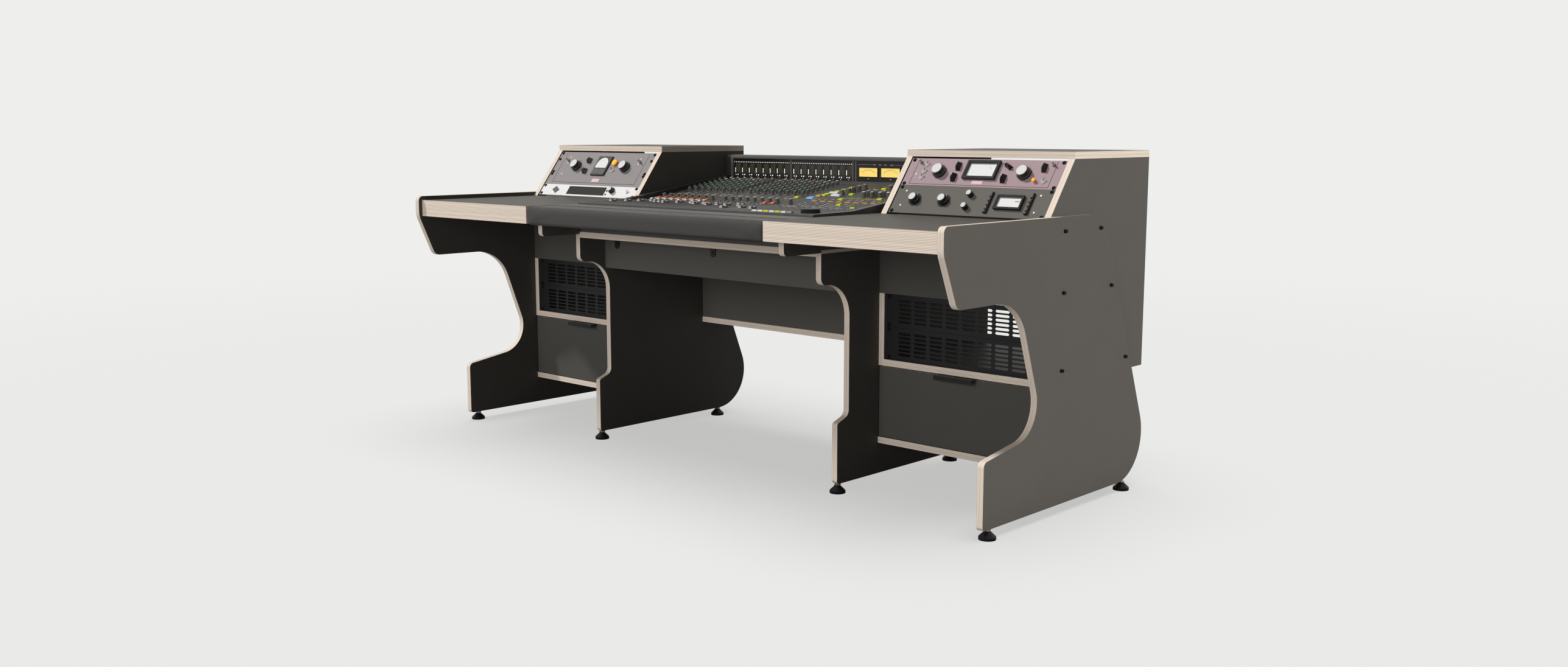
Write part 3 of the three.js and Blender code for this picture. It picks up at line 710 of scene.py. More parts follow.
def push_post(height):
    """A round metal button on a thin stem, with its collar."""
    shape = Shape().lathe([(4.6, 0), (4.6, 1.0), (3.4, 1.4), (0, 1.4)], 16, marks=[1] * 5)
    return shape.lathe([(2.9, 1), (2.9, height - 1), (2.4, height), (0, height)], 16)


def big_knob(radius, height, cap_radius):
    """A spun alloy cap on a smooth black body, with a skirt and a pointer line."""
    foot, left_pod_shadow = height * 0.3, cap_radius - 0.5
    shape = Shape().lathe([(radius * 0.97, 0.3), (radius, 1.2), (radius, foot),
                           (radius * 0.93, foot + 1.2), (cap_radius + 0.9, foot + 2),
                           (cap_radius + 0.4, height - 1.6), (cap_radius - 0.4, height - 1)], 60)
    shape.lathe([(left_pod_shadow, height - 2), (left_pod_shadow, height - 0.6), (cap_radius - 1, height),
                 (cap_radius - 2, height), (cap_radius - 2.2, height - 0.3), (0, height - 0.3)],
                48, marks=[1] * 7)
    return shape.block((-0.7, radius * 0.86, foot + 0.2), (0.7, radius * 0.99, foot + 1.6), 2.0)


def small_knob(radius, height):
    """A channel knob: a straight body, a coloured cap and a white pointer line."""
    shape = Shape().lathe([(radius, 0), (radius * 0.92, height * 0.86), (radius * 0.84, height * 0.9),
                           (radius * 0.84, height), (0, height)], 14, marks=[0, 0, 0, 1, 1, 1])
    return shape.block((-0.45, 0, height), (0.45, radius * 0.8, height + 0.15), 2.0)


def key_cap(width, depth, height):
    return Shape().block((-width / 2, -depth / 2, 0), (width / 2, depth / 2, height), 1.0,
                         draw_in=min(width, depth) * 0.1)


def fader_cap():
    """A fader cap: a white grip in front, a low waist and a grey end behind."""
    outline = [(-11, 0), (11, 0), (11, 5.4), (9, 6.2), (4, 4), (-3, 4), (-5, 6.6), (-10, 6.6),
               (-11, 5.8)]
    lying = Matrix(((0, 0, 1, 0), (1, 0, 0, 0), (0, 1, 0, 0), (0, 0, 0, 1)))
    shape = Shape().prism(outline, -5.5, 5.5, 0.0, lying)
    return shape.block((-5.6, -11.2, 1), (5.6, -4.4, 7), 1.0, draw_in=0.5)


# Parts that several rack units have ---------------------------------------------------------------

def needle_meter(unit, side, middle, size, wall, drop, window):
    """Fits a moving-coil meter's bezel and its inner rim, paler as a painted highlight, and gives its
    dial's shape to print on.
    """
    x, y, thick = size[0] / 2, size[1] / 2, size[2]
    case = Shape().frame((-x, -y, 0), (x, y, thick), wall, where=middle)
    case.frame((wall - x, wall - y, 0), (x - wall, y - wall, thick - drop), 2.0, 1.0, middle)
    # The inner rim's pale colour is a painted highlight of its lit bevel.
    finish = marked("meter case", grey_of(24), sheen_of(84, 82, 80), roughness=0.35)
    fit(f"{unit}_meter_case", case, finish, POD_FACES[side])
    x, y = window
    return Shape().block((-x, -y, 1.5), (x, y, 2.6), 0.0, middle, 0.2)


def meter_dial(unit, side, dial):
    fit(f"{unit}_meter_scale", dial, meter_scale(), POD_FACES[side])


def panel_lines(unit, side, left, right, foot):
    """The line engraved down both sides of a panel and along its foot."""
    shape = Shape()
    for x in (left, right):
        shape.block((x - 0.5, foot, 0.02), (x + 0.5, 3, 0.3))
    shape.block((left, foot - 0.5, 0.02), (right + 0.5, foot + 0.5, 0.3))
    fit(f"{unit}_panel_lines", shape, dark_print(), POD_FACES[side])


def plain_plate(unit, side, x, y, width, height):
    """A plain pale plate on a panel."""
    shape = Shape().block((x - width / 2, y - height / 2, 0), (x + width / 2, y + height / 2, 0.8),
                          draw_in=0.2)
    fit(f"{unit}_plate", shape, paint("pale plate", sheen_of(214, 184, 188), 0.4), POD_FACES[side])


def printed_dots(name, side, radius, places):
    """White dots on a panel, at places to the right and down from the top screws."""
    shape = Shape()
    for x, down in places:
        shape.lathe([(radius, 0), (radius, 0.5), (0, 0.9)], 14, spot(x, -down))
    fit(name, shape, white_print(), POD_FACES[side])


def push_posts(unit, side, height, places):
    fit(f"{unit}_posts", push_post(height), post_metal(), POD_FACES[side], places)


def pilot_lamp(unit, side, x, y, radius):
    """A pilot lamp: an amber lens that stands on a red collar."""
    collar = Shape().lathe([(radius * 0.86, 0), (radius * 0.86, 4.6), (0, 4.6)], 24, spot(x, y))
    lens = Shape().lathe([(radius * 0.8, 4.4), (radius, 5.4), (radius, 8), (radius * 0.86, 9.6),
                          (radius * 0.6, 10.4), (0, 10.6)], 24, spot(x, y))
    fit(f"{unit}_lamp_collar", collar, lit("lamp red", sheen_of(205, 52, 56), 0.25), POD_FACES[side])
    fit(f"{unit}_lamp_lens", lens, lit("lamp amber", tuple(settings().units.lamp), 0.35),
        POD_FACES[side])


# Settings -----------------------------------------------------------------------------------------

def colour_setting(label, described, *levels):
    return FloatVectorProperty(name=label, description=described, subtype="COLOR", size=3,
                               min=0.0, max=1.0, default=sheen_of(*levels))


def light_setting(label, described, default):
    return FloatProperty(name=label, description=described, default=default)


def share_setting(label, described, default):
    return FloatProperty(name=label, description=described, default=default, subtype="FACTOR")


def length_setting(label, described, default):
    return FloatProperty(name=label, description=described, default=default, unit="LENGTH")


class StageLooks(bpy.types.PropertyGroup):
    """Floor, background and lamps."""

    background: colour_setting("Background", "Colour behind the desk and of the floor", 238, 238, 236)
    front_light: light_setting("Front light", "Strength of the light from the front", 3.2)
    low_light: light_setting("Low front light", "Strength of the low light from the front", 1.4)
    floor_light: light_setting("Floor light", "Strength of the light that only the floor takes", 2.55)
    right_light: light_setting("Right light", "Strength of the low light from the right", 2.7)
    sky_strength: light_setting("Sky strength", "Even light from all sides", 0.1)
    floor_bounce: share_setting("Floor bounce", "Light that the floor throws back", 0.35)
    shadow_lift: share_setting("Shadow lift", "Share of the floor's tone that takes no shadow", 0.62)


class BoardLooks(bpy.types.PropertyGroup):
    """Laminate and ply."""

    laminate: colour_setting("Laminate", "Laminate of the legs, boards and pods", 87, 84, 79)
    drawer: colour_setting("Drawer fronts", "Laminate of drawer fronts and fascias", 80, 79, 75)
    worktop: colour_setting("Worktop", "Laminate of the worktops", 80, 78, 72)
    ply_light: colour_setting("Light layers", "Face grain of the ply's layers", 236, 224, 208)
    ply_dark: colour_setting("Dark layers", "End grain of the ply's layers", 204, 182, 165)
    dark_share: share_setting("Dark share", "Part of each layer pair that is dark", 0.36)
    gloss: share_setting("Laminate roughness", "Roughness of the laminate", 0.5)
    sheen: share_setting("Sheen", "How much the laminate mirrors", 0.06)


class ArmrestLooks(bpy.types.PropertyGroup):
    """The padded armrest."""

    leather: colour_setting("Leather", "Colour of the armrest", 46, 45, 43)
    swell: length_setting("Swell", "Largest move of the cover as it fills", 0.0015)


class FittingLooks(bpy.types.PropertyGroup):
    """Bolts, screws and brackets."""

    bolt_radius: length_setting("Bolt radius", "Radius of the bolt heads on the legs", 0.0049)
    bolt_height: length_setting("Bolt height", "How far the bolt heads stand out", 0.007)
    screw_radius: length_setting("Rack screw radius", "Radius of a rack screw's head", 0.0046)
    black: colour_setting("Black", "Colour of the black fittings", 34, 34, 34)


class UnitLooks(bpy.types.PropertyGroup):
    """Rack units in the pods."""

    maroon: colour_setting("Maroon panel", "Paint of the upper right unit", 157, 137, 141)
    black: colour_setting("Dark panel", "Paint of the lower right unit", 97, 94, 89)
    grey: colour_setting("Grey panel", "Paint of the upper left unit", 138, 133, 132)
    white: colour_setting("White panel", "Paint of the lower left unit", 220, 218, 216)
    lamp: colour_setting("Lamp", "Colour of the pilot lamps", 250, 178, 34)


class ConsoleLooks(bpy.types.PropertyGroup):
    """The mixing console."""

    case: colour_setting("Case", "Paint of the console's case and rim", 82, 80, 78)
    panel: colour_setting("Panel", "Paint of the console's top", 52, 50, 47)
    teal: colour_setting("Teal", "First colour of knob caps", 40, 110, 112)
    channel_pitch: length_setting("Channel pitch", "Distance from channel to channel", 0.0307)
    knob_pitch: length_setting("Knob pitch", "Distance between rows of knobs", 0.0229)


class DeskLooks(bpy.types.PropertyGroup):
    """All settings of the desk's looks."""

    stage: PointerProperty(type=StageLooks)
    boards: PointerProperty(type=BoardLooks)
    armrest: PointerProperty(type=ArmrestLooks)
    fittings: PointerProperty(type=FittingLooks)
    units: PointerProperty(type=UnitLooks)
    console: PointerProperty(type=ConsoleLooks)


# Operators ----------------------------------------------------------------------------------------

class DESK_OT_stage(bpy.types.Operator):
    """Build the camera, floor, background and lamps"""

    bl_idname = "desk.stage"
    bl_label = "Stage"

    camera_place = (2.8392, -2.94335, 0.9612)
    camera_turns = (42.671, 8.327, 0.046)
    right_side = ("outer_leg_right", "cabinet_outer_side_right", "pod_top_right", "wing_worktop_right")
    floor_reach = 7.0
    floor_fade = {"From Min": 2.6, "From Max": 6.5}

    def execute(self, context):
        scene, look = context.scene, settings().stage
        scene.view_settings.view_transform = "Standard"
        self.make_camera(scene)
        self.make_world(scene, look)
        floor = self.make_floor(look)
        outside = [frame["nodes"][name] for name in self.right_side]
        for name, source, strength, spread, state, things in (
            ("Front lamp", (-0.6, -0.33, 0.73), look.front_light, 5, "EXCLUDE", [floor]),
            ("Low front lamp", (0.1, -1.0, 0.2), look.low_light, 30, "EXCLUDE", [floor]),
            ("Right lamp", (1.0, 0.1, 0.05), look.right_light, 10, "INCLUDE", outside),
            ("Floor lamp", (0.0, 0.0, 1.0), look.floor_light, 60, "INCLUDE", [floor]),
        ):
            lamp = bpy.data.objects.new(name, bpy.data.lights.new(name, "SUN"))
            lamp.data.energy, lamp.data.angle = strength, math.radians(spread)
            lamp.rotation_euler = Vector(source).to_track_quat("Z", "Y").to_euler()
            lamp.visible_glossy = False
            self.limit(lamp, state, things)
            scene.collection.objects.link(lamp)
        return {"FINISHED"}

    @staticmethod
    def limit(lamp, state, things):
        """Keeps a lamp's light to some objects, or off them."""
        group = bpy.data.collections.new(lamp.name + " reach")
        for thing in things:
            group.objects.link(thing)
        for entry in group.collection_objects:
            entry.light_linking.link_state = state
        lamp.light_linking.receiver_collection = group

    def make_camera(self, scene):
        camera = bpy.data.objects.new("Camera", bpy.data.cameras.new("Camera"))
        scene.collection.objects.link(camera)
        yaw, pitch, roll = (math.radians(turn) for turn in self.camera_turns)
        forward = Vector((-math.sin(yaw) * math.cos(pitch), math.cos(yaw) * math.cos(pitch),
                          -math.sin(pitch)))
        level = forward.to_track_quat("-Z", "Y").to_matrix().to_4x4()
        camera.location = self.camera_place
        camera.rotation_euler = (level @ Matrix.Rotation(roll, 4, "Z")).to_euler()
        camera.data.lens, camera.data.sensor_width = 31.97, 36.0
        camera.data.clip_end = 60
        scene.camera = camera

    @staticmethod
    def make_world(scene, look):
        scene.world = bpy.data.worlds.new("Studio")
        sky = Shader(scene.world)
        camera, glossy, through = (sky.node("ShaderNodeLightPath", outlet=f"Is {ray} Ray")
                                   for ray in ("Camera", "Glossy", "Transmission"))
        seen = camera.maths("MAXIMUM", camera.maths("MAXIMUM", camera, glossy), through)
        light = sky.node("ShaderNodeBackground",
                         values={"Color": rgba((1, 1, 1)), "Strength": look.sky_strength})
        picture = sky.node("ShaderNodeBackground",
                           values={"Color": rgba(look.background), "Strength": 1.0})
        chosen = sky.node("ShaderNodeMixShader", values={0: seen, 1: light, 2: picture})
        sky.node("ShaderNodeOutputWorld", values={"Surface": chosen})

    def make_floor(self, look):
        finish = new_finish("floor")
        distance = finish.node("ShaderNodeVectorMath", {"operation": "LENGTH"},
                               {0: finish.coordinates()}, outlet="Value")
        fade = finish.node("ShaderNodeMapRange", {"interpolation_type": "SMOOTHSTEP"},
                           {"Value": distance, **self.floor_fade})
        seen = finish.node("ShaderNodeLightPath", outlet="Is Camera Ray")
        shade = finish.mix(seen, [look.floor_bounce] * 3, look.background)
        ground = finish.node("ShaderNodeBsdfDiffuse", values={"Color": shade})
        picture = finish.node("ShaderNodeEmission", values={"Color": rgba(look.background),
                                                            "Strength": 1.0})
        lifted = finish.node("ShaderNodeMixShader",
                             values={0: seen * look.shadow_lift, 1: ground, 2: picture})
        clear = finish.node("ShaderNodeBsdfTransparent")
        mixed = finish.node("ShaderNodeMixShader", values={0: fade, 1: lifted, 2: clear})
        finish.node("ShaderNodeOutputMaterial", values={"Surface": mixed})
        mesh = bpy.data.meshes.new("floor")
        corners = [(x * self.floor_reach, y * self.floor_reach, 0)
                   for x, y in ((-1, -1), (1, -1), (1, 1), (-1, 1))]
        mesh.from_pydata(corners, [], [(0, 1, 2, 3)])
        mesh.materials.append(finish.owner)
        floor = bpy.data.objects.new("floor", mesh)
        bpy.context.scene.collection.objects.link(floor)
        return floor


class DESK_OT_boards(bpy.types.Operator):
    """Finish every ply board, with layers that run along its own thickness"""

    bl_idname = "desk.boards"
    bl_label = "Boards"

    boards = (("Z", "worktop", ("wing_worktop_{}",)),
              ("X", "laminate", ("outer_leg_{}", "inner_leg_{}", "bearer_{}",
                                 "cabinet_inner_side_{}", "cabinet_outer_side_{}")),
              ("Z", "laminate", ("cabinet_shelf_{}", "cabinet_base_{}", "pod_top_{}",
                                 "deck_board", "trough_board")),
              ("Y", "laminate", ("modesty_panel", "trough_panel")),
              ("Y", "drawer", ("cabinet_fascia_{}", "drawer_front_{}")))

    def execute(self, context):
        for axis, kind, names in self.boards:
            for name in dict.fromkeys(name.format(side) for name in names for side in SIDES):
                low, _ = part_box(name)
                start = round(low["XYZ".index(axis)] * 1000, 2)
                dress(name, ply_board(axis, start, kind))
        dress("centre_worktop", paint("worktop laminate", tuple(settings().boards.worktop), 0.5, 0.05))
        return {"FINISHED"}


class DESK_OT_armrest(bpy.types.Operator):
    """Pad the armrest and cover it in leather"""

    bl_idname = "desk.armrest"
    bl_label = "Armrest"

    # Slack, radii and voxel are in metres.
    slack = (0.001, 0.001, 0.0008)
    lip_radius = 0.017
    edge_radius = 0.006
    voxel = 0.005
    frames = 20
    pressure = 4.0
    stiffness = 15.0

    def execute(self, context):
        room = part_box("armrest")
        slack = Vector(self.slack)
        low, high = room[0] + slack, room[1] - slack
        shape = bmesh.new()
        bmesh.ops.create_cube(shape, size=1)
        bmesh.ops.scale(shape, vec=high - low, verts=shape.verts)
        bmesh.ops.translate(shape, vec=(low + high) / 2, verts=shape.verts)
        round_edges(shape, self.lip_radius, lambda point: abs(point.y - low.y) < 1e-5
                    and abs(point.z - high.z) < 1e-5)
        round_edges(shape, self.edge_radius, lambda point: point.y < high.y - 0.001)
        mesh = bpy.data.meshes.new("armrest_pad")
        shape.to_mesh(mesh)
        shape.free()
        pad = bpy.data.objects.new("armrest_pad", mesh)
        context.scene.collection.objects.link(pad)
        remesh = pad.modifiers.new("Remesh", "REMESH")
        remesh.mode, remesh.voxel_size = "VOXEL", self.voxel
        apply_modifiers(pad)
        self.fill(context, pad, room)
        smoother = pad.modifiers.new("Subdivision", "SUBSURF")
        smoother.levels = smoother.render_levels = 1
        apply_modifiers(pad)
        pad.data.shade_smooth()
        pad.data.materials.append(leather())
        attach(pad, "desk")
        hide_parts("armrest")
        return {"FINISHED"}

    def fill(self, context, pad, room):
        """Swells the cover a little under pressure and keeps it in its room."""
        rest = [v.co.copy() for v in pad.data.vertices]
        cloth = pad.modifiers.new("Cloth", "CLOTH")
        cloth.settings.use_pressure = True
        cloth.settings.uniform_pressure_force = self.pressure
        cloth.settings.tension_stiffness = cloth.settings.compression_stiffness = self.stiffness
        cloth.settings.effector_weights.gravity = 0.0
        cloth.point_cache.frame_start, cloth.point_cache.frame_end = 1, self.frames
        for number in range(1, self.frames + 1):
            context.scene.frame_set(number)
        apply_modifiers(pad)
        context.scene.frame_set(1)
        cap = settings().armrest.swell
        for vertex, start in zip(pad.data.vertices, rest):
            move = vertex.co - start
            if move.length > cap:
                move *= cap / move.length
            vertex.co = [min(max(value, least), most)
                         for value, least, most in zip(start + move, *room)]


def round_edges(shape, radius, wanted):
    """Rounds the sharp edges whose ends are both wanted."""
    edges = [edge for edge in shape.edges if all(wanted(vert.co) for vert in edge.verts)
             and edge.calc_face_angle(0.0) > 0.8]
    bmesh.ops.bevel(shape, geom=edges, offset=radius, segments=6, profile=0.5, affect="EDGES",
                    clamp_overlap=True)


def apply_modifiers(thing):
    """Turns an object's modifiers into its mesh."""
    made = evaluated_mesh(thing)
    thing.modifiers.clear()
    thing.data = made


class DESK_OT_fittings(bpy.types.Operator):
    """Fit bolts, brackets, lock nuts and rack screws"""

    bl_idname = "desk.fittings"
    bl_label = "Bolts, brackets and screws"

    bolts = ((486, 716), (655, 716), (486, 564), (717, 565), (487, 369), (803, 368))
    feet = ((1026, 193.6), (1026, 824.8), (486, 279.5), (486, 787))
    unit_screws = {"right": (0.45, 76.75, 89.35, 164.85),
                   "left": (0.45, 25.6, 76.0, 85.6, 133.8, 164.85)}
    vent_screws = (352.5, 428, 441.5, 517)

    def execute(self, context):
        look, black, signs = settings().fittings, black_steel(), SIDES.values()
        head = bolt_head(look.bolt_radius / MM, look.bolt_height / MM)
        fit("leg_bolts", head, black, DESK,
            [(sign * 1035, y, z, 0, sign * 90, 0) for sign in signs for y, z in self.bolts])
        fit("panel_brackets", panel_bracket(), black_paint(), DESK,
            [(x, 297, 600.2) for x in (-418, 0, 418)])
        nut = Shape().lathe([(8.4, 0), (9.2, 0.8), (9.2, 4.2), (8.4, 5), (0, 5)], 6)
        fit("lock_nuts", nut, silver(), DESK,
            [(sign * x, y, 20.6) for sign in signs for x, y in self.feet])

        radius = look.screw_radius / MM
        for side, sign in SIDES.items():
            middle = sign * POD_MIDDLE
            fit(f"pod_screws_{side}", pan_screw(radius), black, POD_FACES[side],
                [(x, -down, 0.2) for x in RACK_HOLES for down in self.unit_screws[side]])
            fit(f"vent_screws_{side}", pan_screw(radius), black, DESK,
                [(middle + x, 446.8, z, 90, 0, 0) for x in RACK_HOLES for z in self.vent_screws])
            strip = Shape().block((middle - 222, 449.1, 432), (middle + 222, 449.8, 437.5))
            fit(f"vent_joint_{side}", strip, black_paint(), DESK)
        return {"FINISHED"}


class DESK_OT_cabinets(bpy.types.Operator):
    """Finish drawer boxes, pulls, vented panels, rack strips and feet"""

    bl_idname = "desk.cabinets"
    bl_label = "Cabinets and feet"

    steel = ("drawer_pull", "vent_panel_lower", "vent_panel_upper", "rack_frame")
    feet = ("foot_outer_front", "foot_outer_rear", "foot_inner_front", "foot_inner_rear")

    def execute(self, context):
        birch = paint("drawer box birch", sheen_of(214, 196, 170), 0.6)
        for finish, names in ((birch, ("drawer_box",)), (black_paint(), self.steel),
                              (black_moulding(), self.feet)):
            for name in names:
                for side in SIDES:
                    dress(f"{name}_{side}", finish)
        return {"FINISHED"}


class DESK_OT_maroon_unit(bpy.types.Operator):
    """Dress the maroon unit: engraved line, meter, pointer knobs, switches and lamp"""

    bl_idname = "desk.maroon_unit"
    bl_label = "Maroon unit"

    knobs = [(-78, -20, 0, 0, 0, 4), (-79, -55, 0, 0, 0, 0), (76, -16, 0, 0, 0, 58),
             (76, -55, 0, 0, 0, 2), (184, -19, 0, 0, 0, 4)]
    switches = [(-184, -14, 0), (-184, -36, 0), (-184, -56, 0), (195, -58.5, 0)]

    def execute(self, context):
        unit, side, face = "maroon", "right", POD_FACES["right"]
        dress("rack_unit_maroon", paint("maroon paint", tuple(settings().units.maroon), 0.42))
        panel_lines(unit, side, -216, 215, -77.2)
        dial = needle_meter(unit, side, spot(0, -30.5), (100, 57, 8.5), 6.5, 2.5, (42.5, 23))
        meter_dial(unit, side, dial.band(34, 0.6, 34, 58, 2.62, (0, -46), 1.0))
        plain_plate(unit, side, 0, -68, 34, 11)
        fit("maroon_pointer_knobs", pointer_knob(13, 25, 15), pointer_black(), face,
            places=self.knobs)
        fit("maroon_switches", toggle(48, 24), silver(), face, self.switches)
        push_posts(unit, side, 16, [(-205, -9, 0), (207, -9, 0)])
        printed_dots("maroon_dot", side, 2.4, [(-207, 46)])
        pilot_lamp(unit, side, 170, -59, 5)
        return {"FINISHED"}


class DESK_OT_dark_unit(bpy.types.Operator):
    """Dress the dark unit: dial skirts, small knobs, push-button columns and meter"""

    bl_idname = "desk.dark_unit"
    bl_label = "Dark unit"

    def execute(self, context):
        unit, side, face = "dark", "right", POD_FACES["right"]
        dress("rack_unit_black", paint("dark grey paint", tuple(settings().units.black), 0.5))

        plates = Shape()
        for x in (-172, -78):
            plates.lathe([(19, 0.02), (19, 1.6), (0, 1.6)], 40, spot(x, -128), marks=[1, 1, 0])
            plates.block((-0.5, 16.4, 1.6), (0.5, 20.6, 1.9), 2.0, spot(x, -128, 0, -6))
        finish = marked("dial plate", sheen_of(52, 50, 49), grey_of(18), sheen_of(214, 214, 210))
        fit("dark_dial_plates", plates, finish, face)
        finish = two_toned("small alloy knob", grey_of(14), sheen_of(196, 196, 194), roughness=0.3)
        fit("dark_small_knobs", small_knob(8.8, 15), finish, face,
            [(-1, -108, 0, 0, 0, 16), (-1, -147, 0, 0, 0, 16)])

        for x, name in ((66, "left"), (188, "right")):
            column = Shape().block((x - 2.5, -161, 0), (x + 2.5, -97, 5), draw_in=0.5)
            for down in (110, 123, 136, 149):
                column.block((x - 8, -down - 1, 0.3), (x - 2, -down + 1, 4.2), draw_in=0.3)
            column.block((x - 8, -161, 0), (x + 2.5, -157.5, 5.4), draw_in=0.5)
            fit(f"dark_buttons_{name}", column, black_moulding(), face)

        middle = spot(125, -127.5)
        dial = needle_meter(unit, side, middle, (80, 42, 8), 4.6, 2, (35, 16))
        dial.block((15, 3, 2.5), (29, 5.6, 2.8), 2.0, middle)
        meter_dial(unit, side, dial.band(5, 0.5, 20, 160, 2.62, (0, -13), 3.0, middle))
        printed_dots("dark_dots", side, 2.6, [(-212, 101), (-212, 147), (206, 101), (206, 152)])
        return {"FINISHED"}


class DESK_OT_grey_unit(bpy.types.Operator):
    """Dress the grey unit: engraved line, tall meter, square knobs, switch and lamp"""

    bl_idname = "desk.grey_unit"
    bl_label = "Grey unit"

    def execute(self, context):
        unit, side, face = "grey", "left", POD_FACES["left"]
        dress("rack_unit_grey", paint("grey paint", tuple(settings().units.grey), 0.42))
        panel_lines(unit, side, -210, 208, -118)

        middle = spot(6, -50)
        case = Shape().block((-34.5, -38.5, 0), (34.5, 38.5, 4), 0.0, middle, 0.6)
        case.block((-33, -37, 4), (33, 37, 5), 1.0, middle, 0.4)
        for sign in SIDES.values():
            case.block((min(0, sign * 31), -34.5, 5), (max(0, sign * 31), -13, 5.8), 2.0, middle, 0.5)
        finish = marked("grey meter case", grey_of(28), sheen_of(66, 64, 64), sheen_of(88, 85, 85))
        fit("grey_meter_case", case, finish, face)
        dome = [(-27, -9), (27, -9)] + arc_points(27, 0, 180, 28, (0, 4))
        dial = Shape().prism(dome, 5, 5.6, 0.0, middle)
        meter_dial(unit, side, dial.band(20, 0.5, 25, 155, 5.62, (0, 0), 3.0, middle))
        plain_plate(unit, side, 10.5, -107, 37, 13)

        fit("grey_bar_knobs", pointer_knob(18, 19, 15), pointer_black(), face,
            places=[(-71, -30, 0), (-68, -72, 0)])
        fit("grey_switch", toggle(40, 14, 12), silver(), face, [(66, -67, 0)])
        push_posts(unit, side, 18, [(-183, -31, 0), (183, -31, 0)])
        printed_dots("grey_dots", side, 2.5,
                     [(-181, 16), (-183, 38), (177, 17), (176, 38), (-183, 84)])
        pilot_lamp(unit, side, 66, -38, 10.5)
        return {"FINISHED"}


class DESK_OT_white_unit(bpy.types.Operator):
    """Dress the white unit: diamond key, display, keys and switch"""

    bl_idname = "desk.white_unit"
    bl_label = "White unit"

    def execute(self, context):
        face = POD_FACES["left"]
        dress("rack_unit_white", paint("white paint", tuple(settings().units.white), 0.35))
        fit("white_display", Shape().block((-102, -165, 0), (88, -133, 0.8), draw_in=0.3),
            paint("display glass", sheen_of(52, 51, 49), 0.5, 0.0, 0.1), face)
        diamond = [(-18.5, 0), (4, -13.5), (18.5, 0), (-4, 13.5)]
        fit("white_diamond_key", Shape().prism(diamond, 0, 1.4, 0.0, spot(-166, -149.5)),
            paint("diamond key", sheen_of(92, 90, 88), 0.4), face)
        keys = Shape()
        for x, down in ((96, 147), (97, 160)):
            keys.block((x - 3, -down - 2.5, 0), (x + 3, -down + 2.5, 1.5), draw_in=0.4)
        fit("white_keys", keys, black_moulding(), face)
        fit("white_switch", toggle(44, 14, 12), silver(), face,
            [(198, -149, 0, 0, 0, 0, 0.7, 0)])
        return {"FINISHED"}


class DESK_OT_main_knobs(bpy.types.Operator):
    """Put spun caps on smooth black bodies on the seven main knobs"""

    bl_idname = "desk.main_knobs"
    bl_label = "Main knobs"

    # Each knob's node, its pod, its place right and down, radius, height, cap radius and turn.
    knobs = (("gain_knob_maroon", "right", -132, 38, 19.5, 20, 15.6, 34),
             ("reduction_knob_maroon", "right", 132, 38, 19.5, 20, 15.6, 24),
             ("input_knob_black", "right", -172, 128, 14, 18, 11.2, -28),
             ("output_knob_black", "right", -78, 128, 14, 18, 11.2, -28),
             ("gain_knob_grey", "left", -123.5, 53, 19.5, 20, 15.6, 34),
             ("reduction_knob_grey", "left", 123.5, 53, 19.5, 20, 15.6, 24),
             ("menu_knob_white", "left", 122, 145.95, 11, 16, 8.8, 45))

    def execute(self, context):
        finish = two_toned("main knob", grey_of(12), sheen_of(206, 206, 204), roughness=0.28)
        bodies = {node: body for body, nodes in frame["record"]["behaviour"]["bodies"].items()
                  for node in nodes}
        for name, side, x, down, radius, height, cap, turn in self.knobs:
            where = POD_FACES[side] @ spot(x, -down, 0, turn)
            mesh = big_knob(radius, height, cap).done(name + "_cap", where, 28)
            mesh.materials.append(finish)
            piece(name + "_cap", mesh, bodies[name], (name,))
        return {"FINISHED"}


def channel_pitch():
    return settings().console.channel_pitch / MM


def bank_middles():
    """The middles of the two banks of channels."""
    return [first + channel_pitch() * (CHANNELS - 1) / 2 for first in FIRST_CHANNELS]


class DESK_OT_console_case(bpy.types.Operator):
    """Finish the console's case and lay its panels, channel lines and fader slots"""

    bl_idname = "desk.console_case"
    bl_label = "Console case"

    def execute(self, context):
        dress("console_body", case_paint())
        dress("monitor_wheel", black_moulding())
        panel = paint("console panel paint", tuple(settings().console.panel), 0.5, 0.12)
        flat = Shape().block((-454, 197, FADER_TOP + 0.05), (454, 469, FADER_TOP + SKIN))
        fit("fader_panel", flat, panel, DESK)
        fit("channel_panel", Shape().block((-454, 1, 0.05), (454, 317, SKIN)), panel, SLOPE)

        lines, slots, pitch = [], [], channel_pitch()
        for middle in bank_middles():
            for place, reach in ((LEVEL @ spot(middle, 333), 136),
                                 (SLOPE @ spot(middle, 159, SKIN), 156)):
                line = Shape().block((-0.35, -reach, 0), (0.35, reach, 0.25))
                lines.append(rows(line, dark_print(), place, CHANNELS + 1, pitch))
            slots.append(rows(Shape().block((-1, -58, 0), (1, 58, 0.3)), black_moulding(),
                              LEVEL @ spot(middle, 322), CHANNELS, pitch))
        join("channel_lines", lines)
        join("fader_slots", slots)
        bar = Shape().block((-1.6, -100, 0), (1.6, 100, 1.4), where=spot(84, 208))
        fit("master_divider", bar, case_paint(), SLOPE)
        return {"FINISHED"}


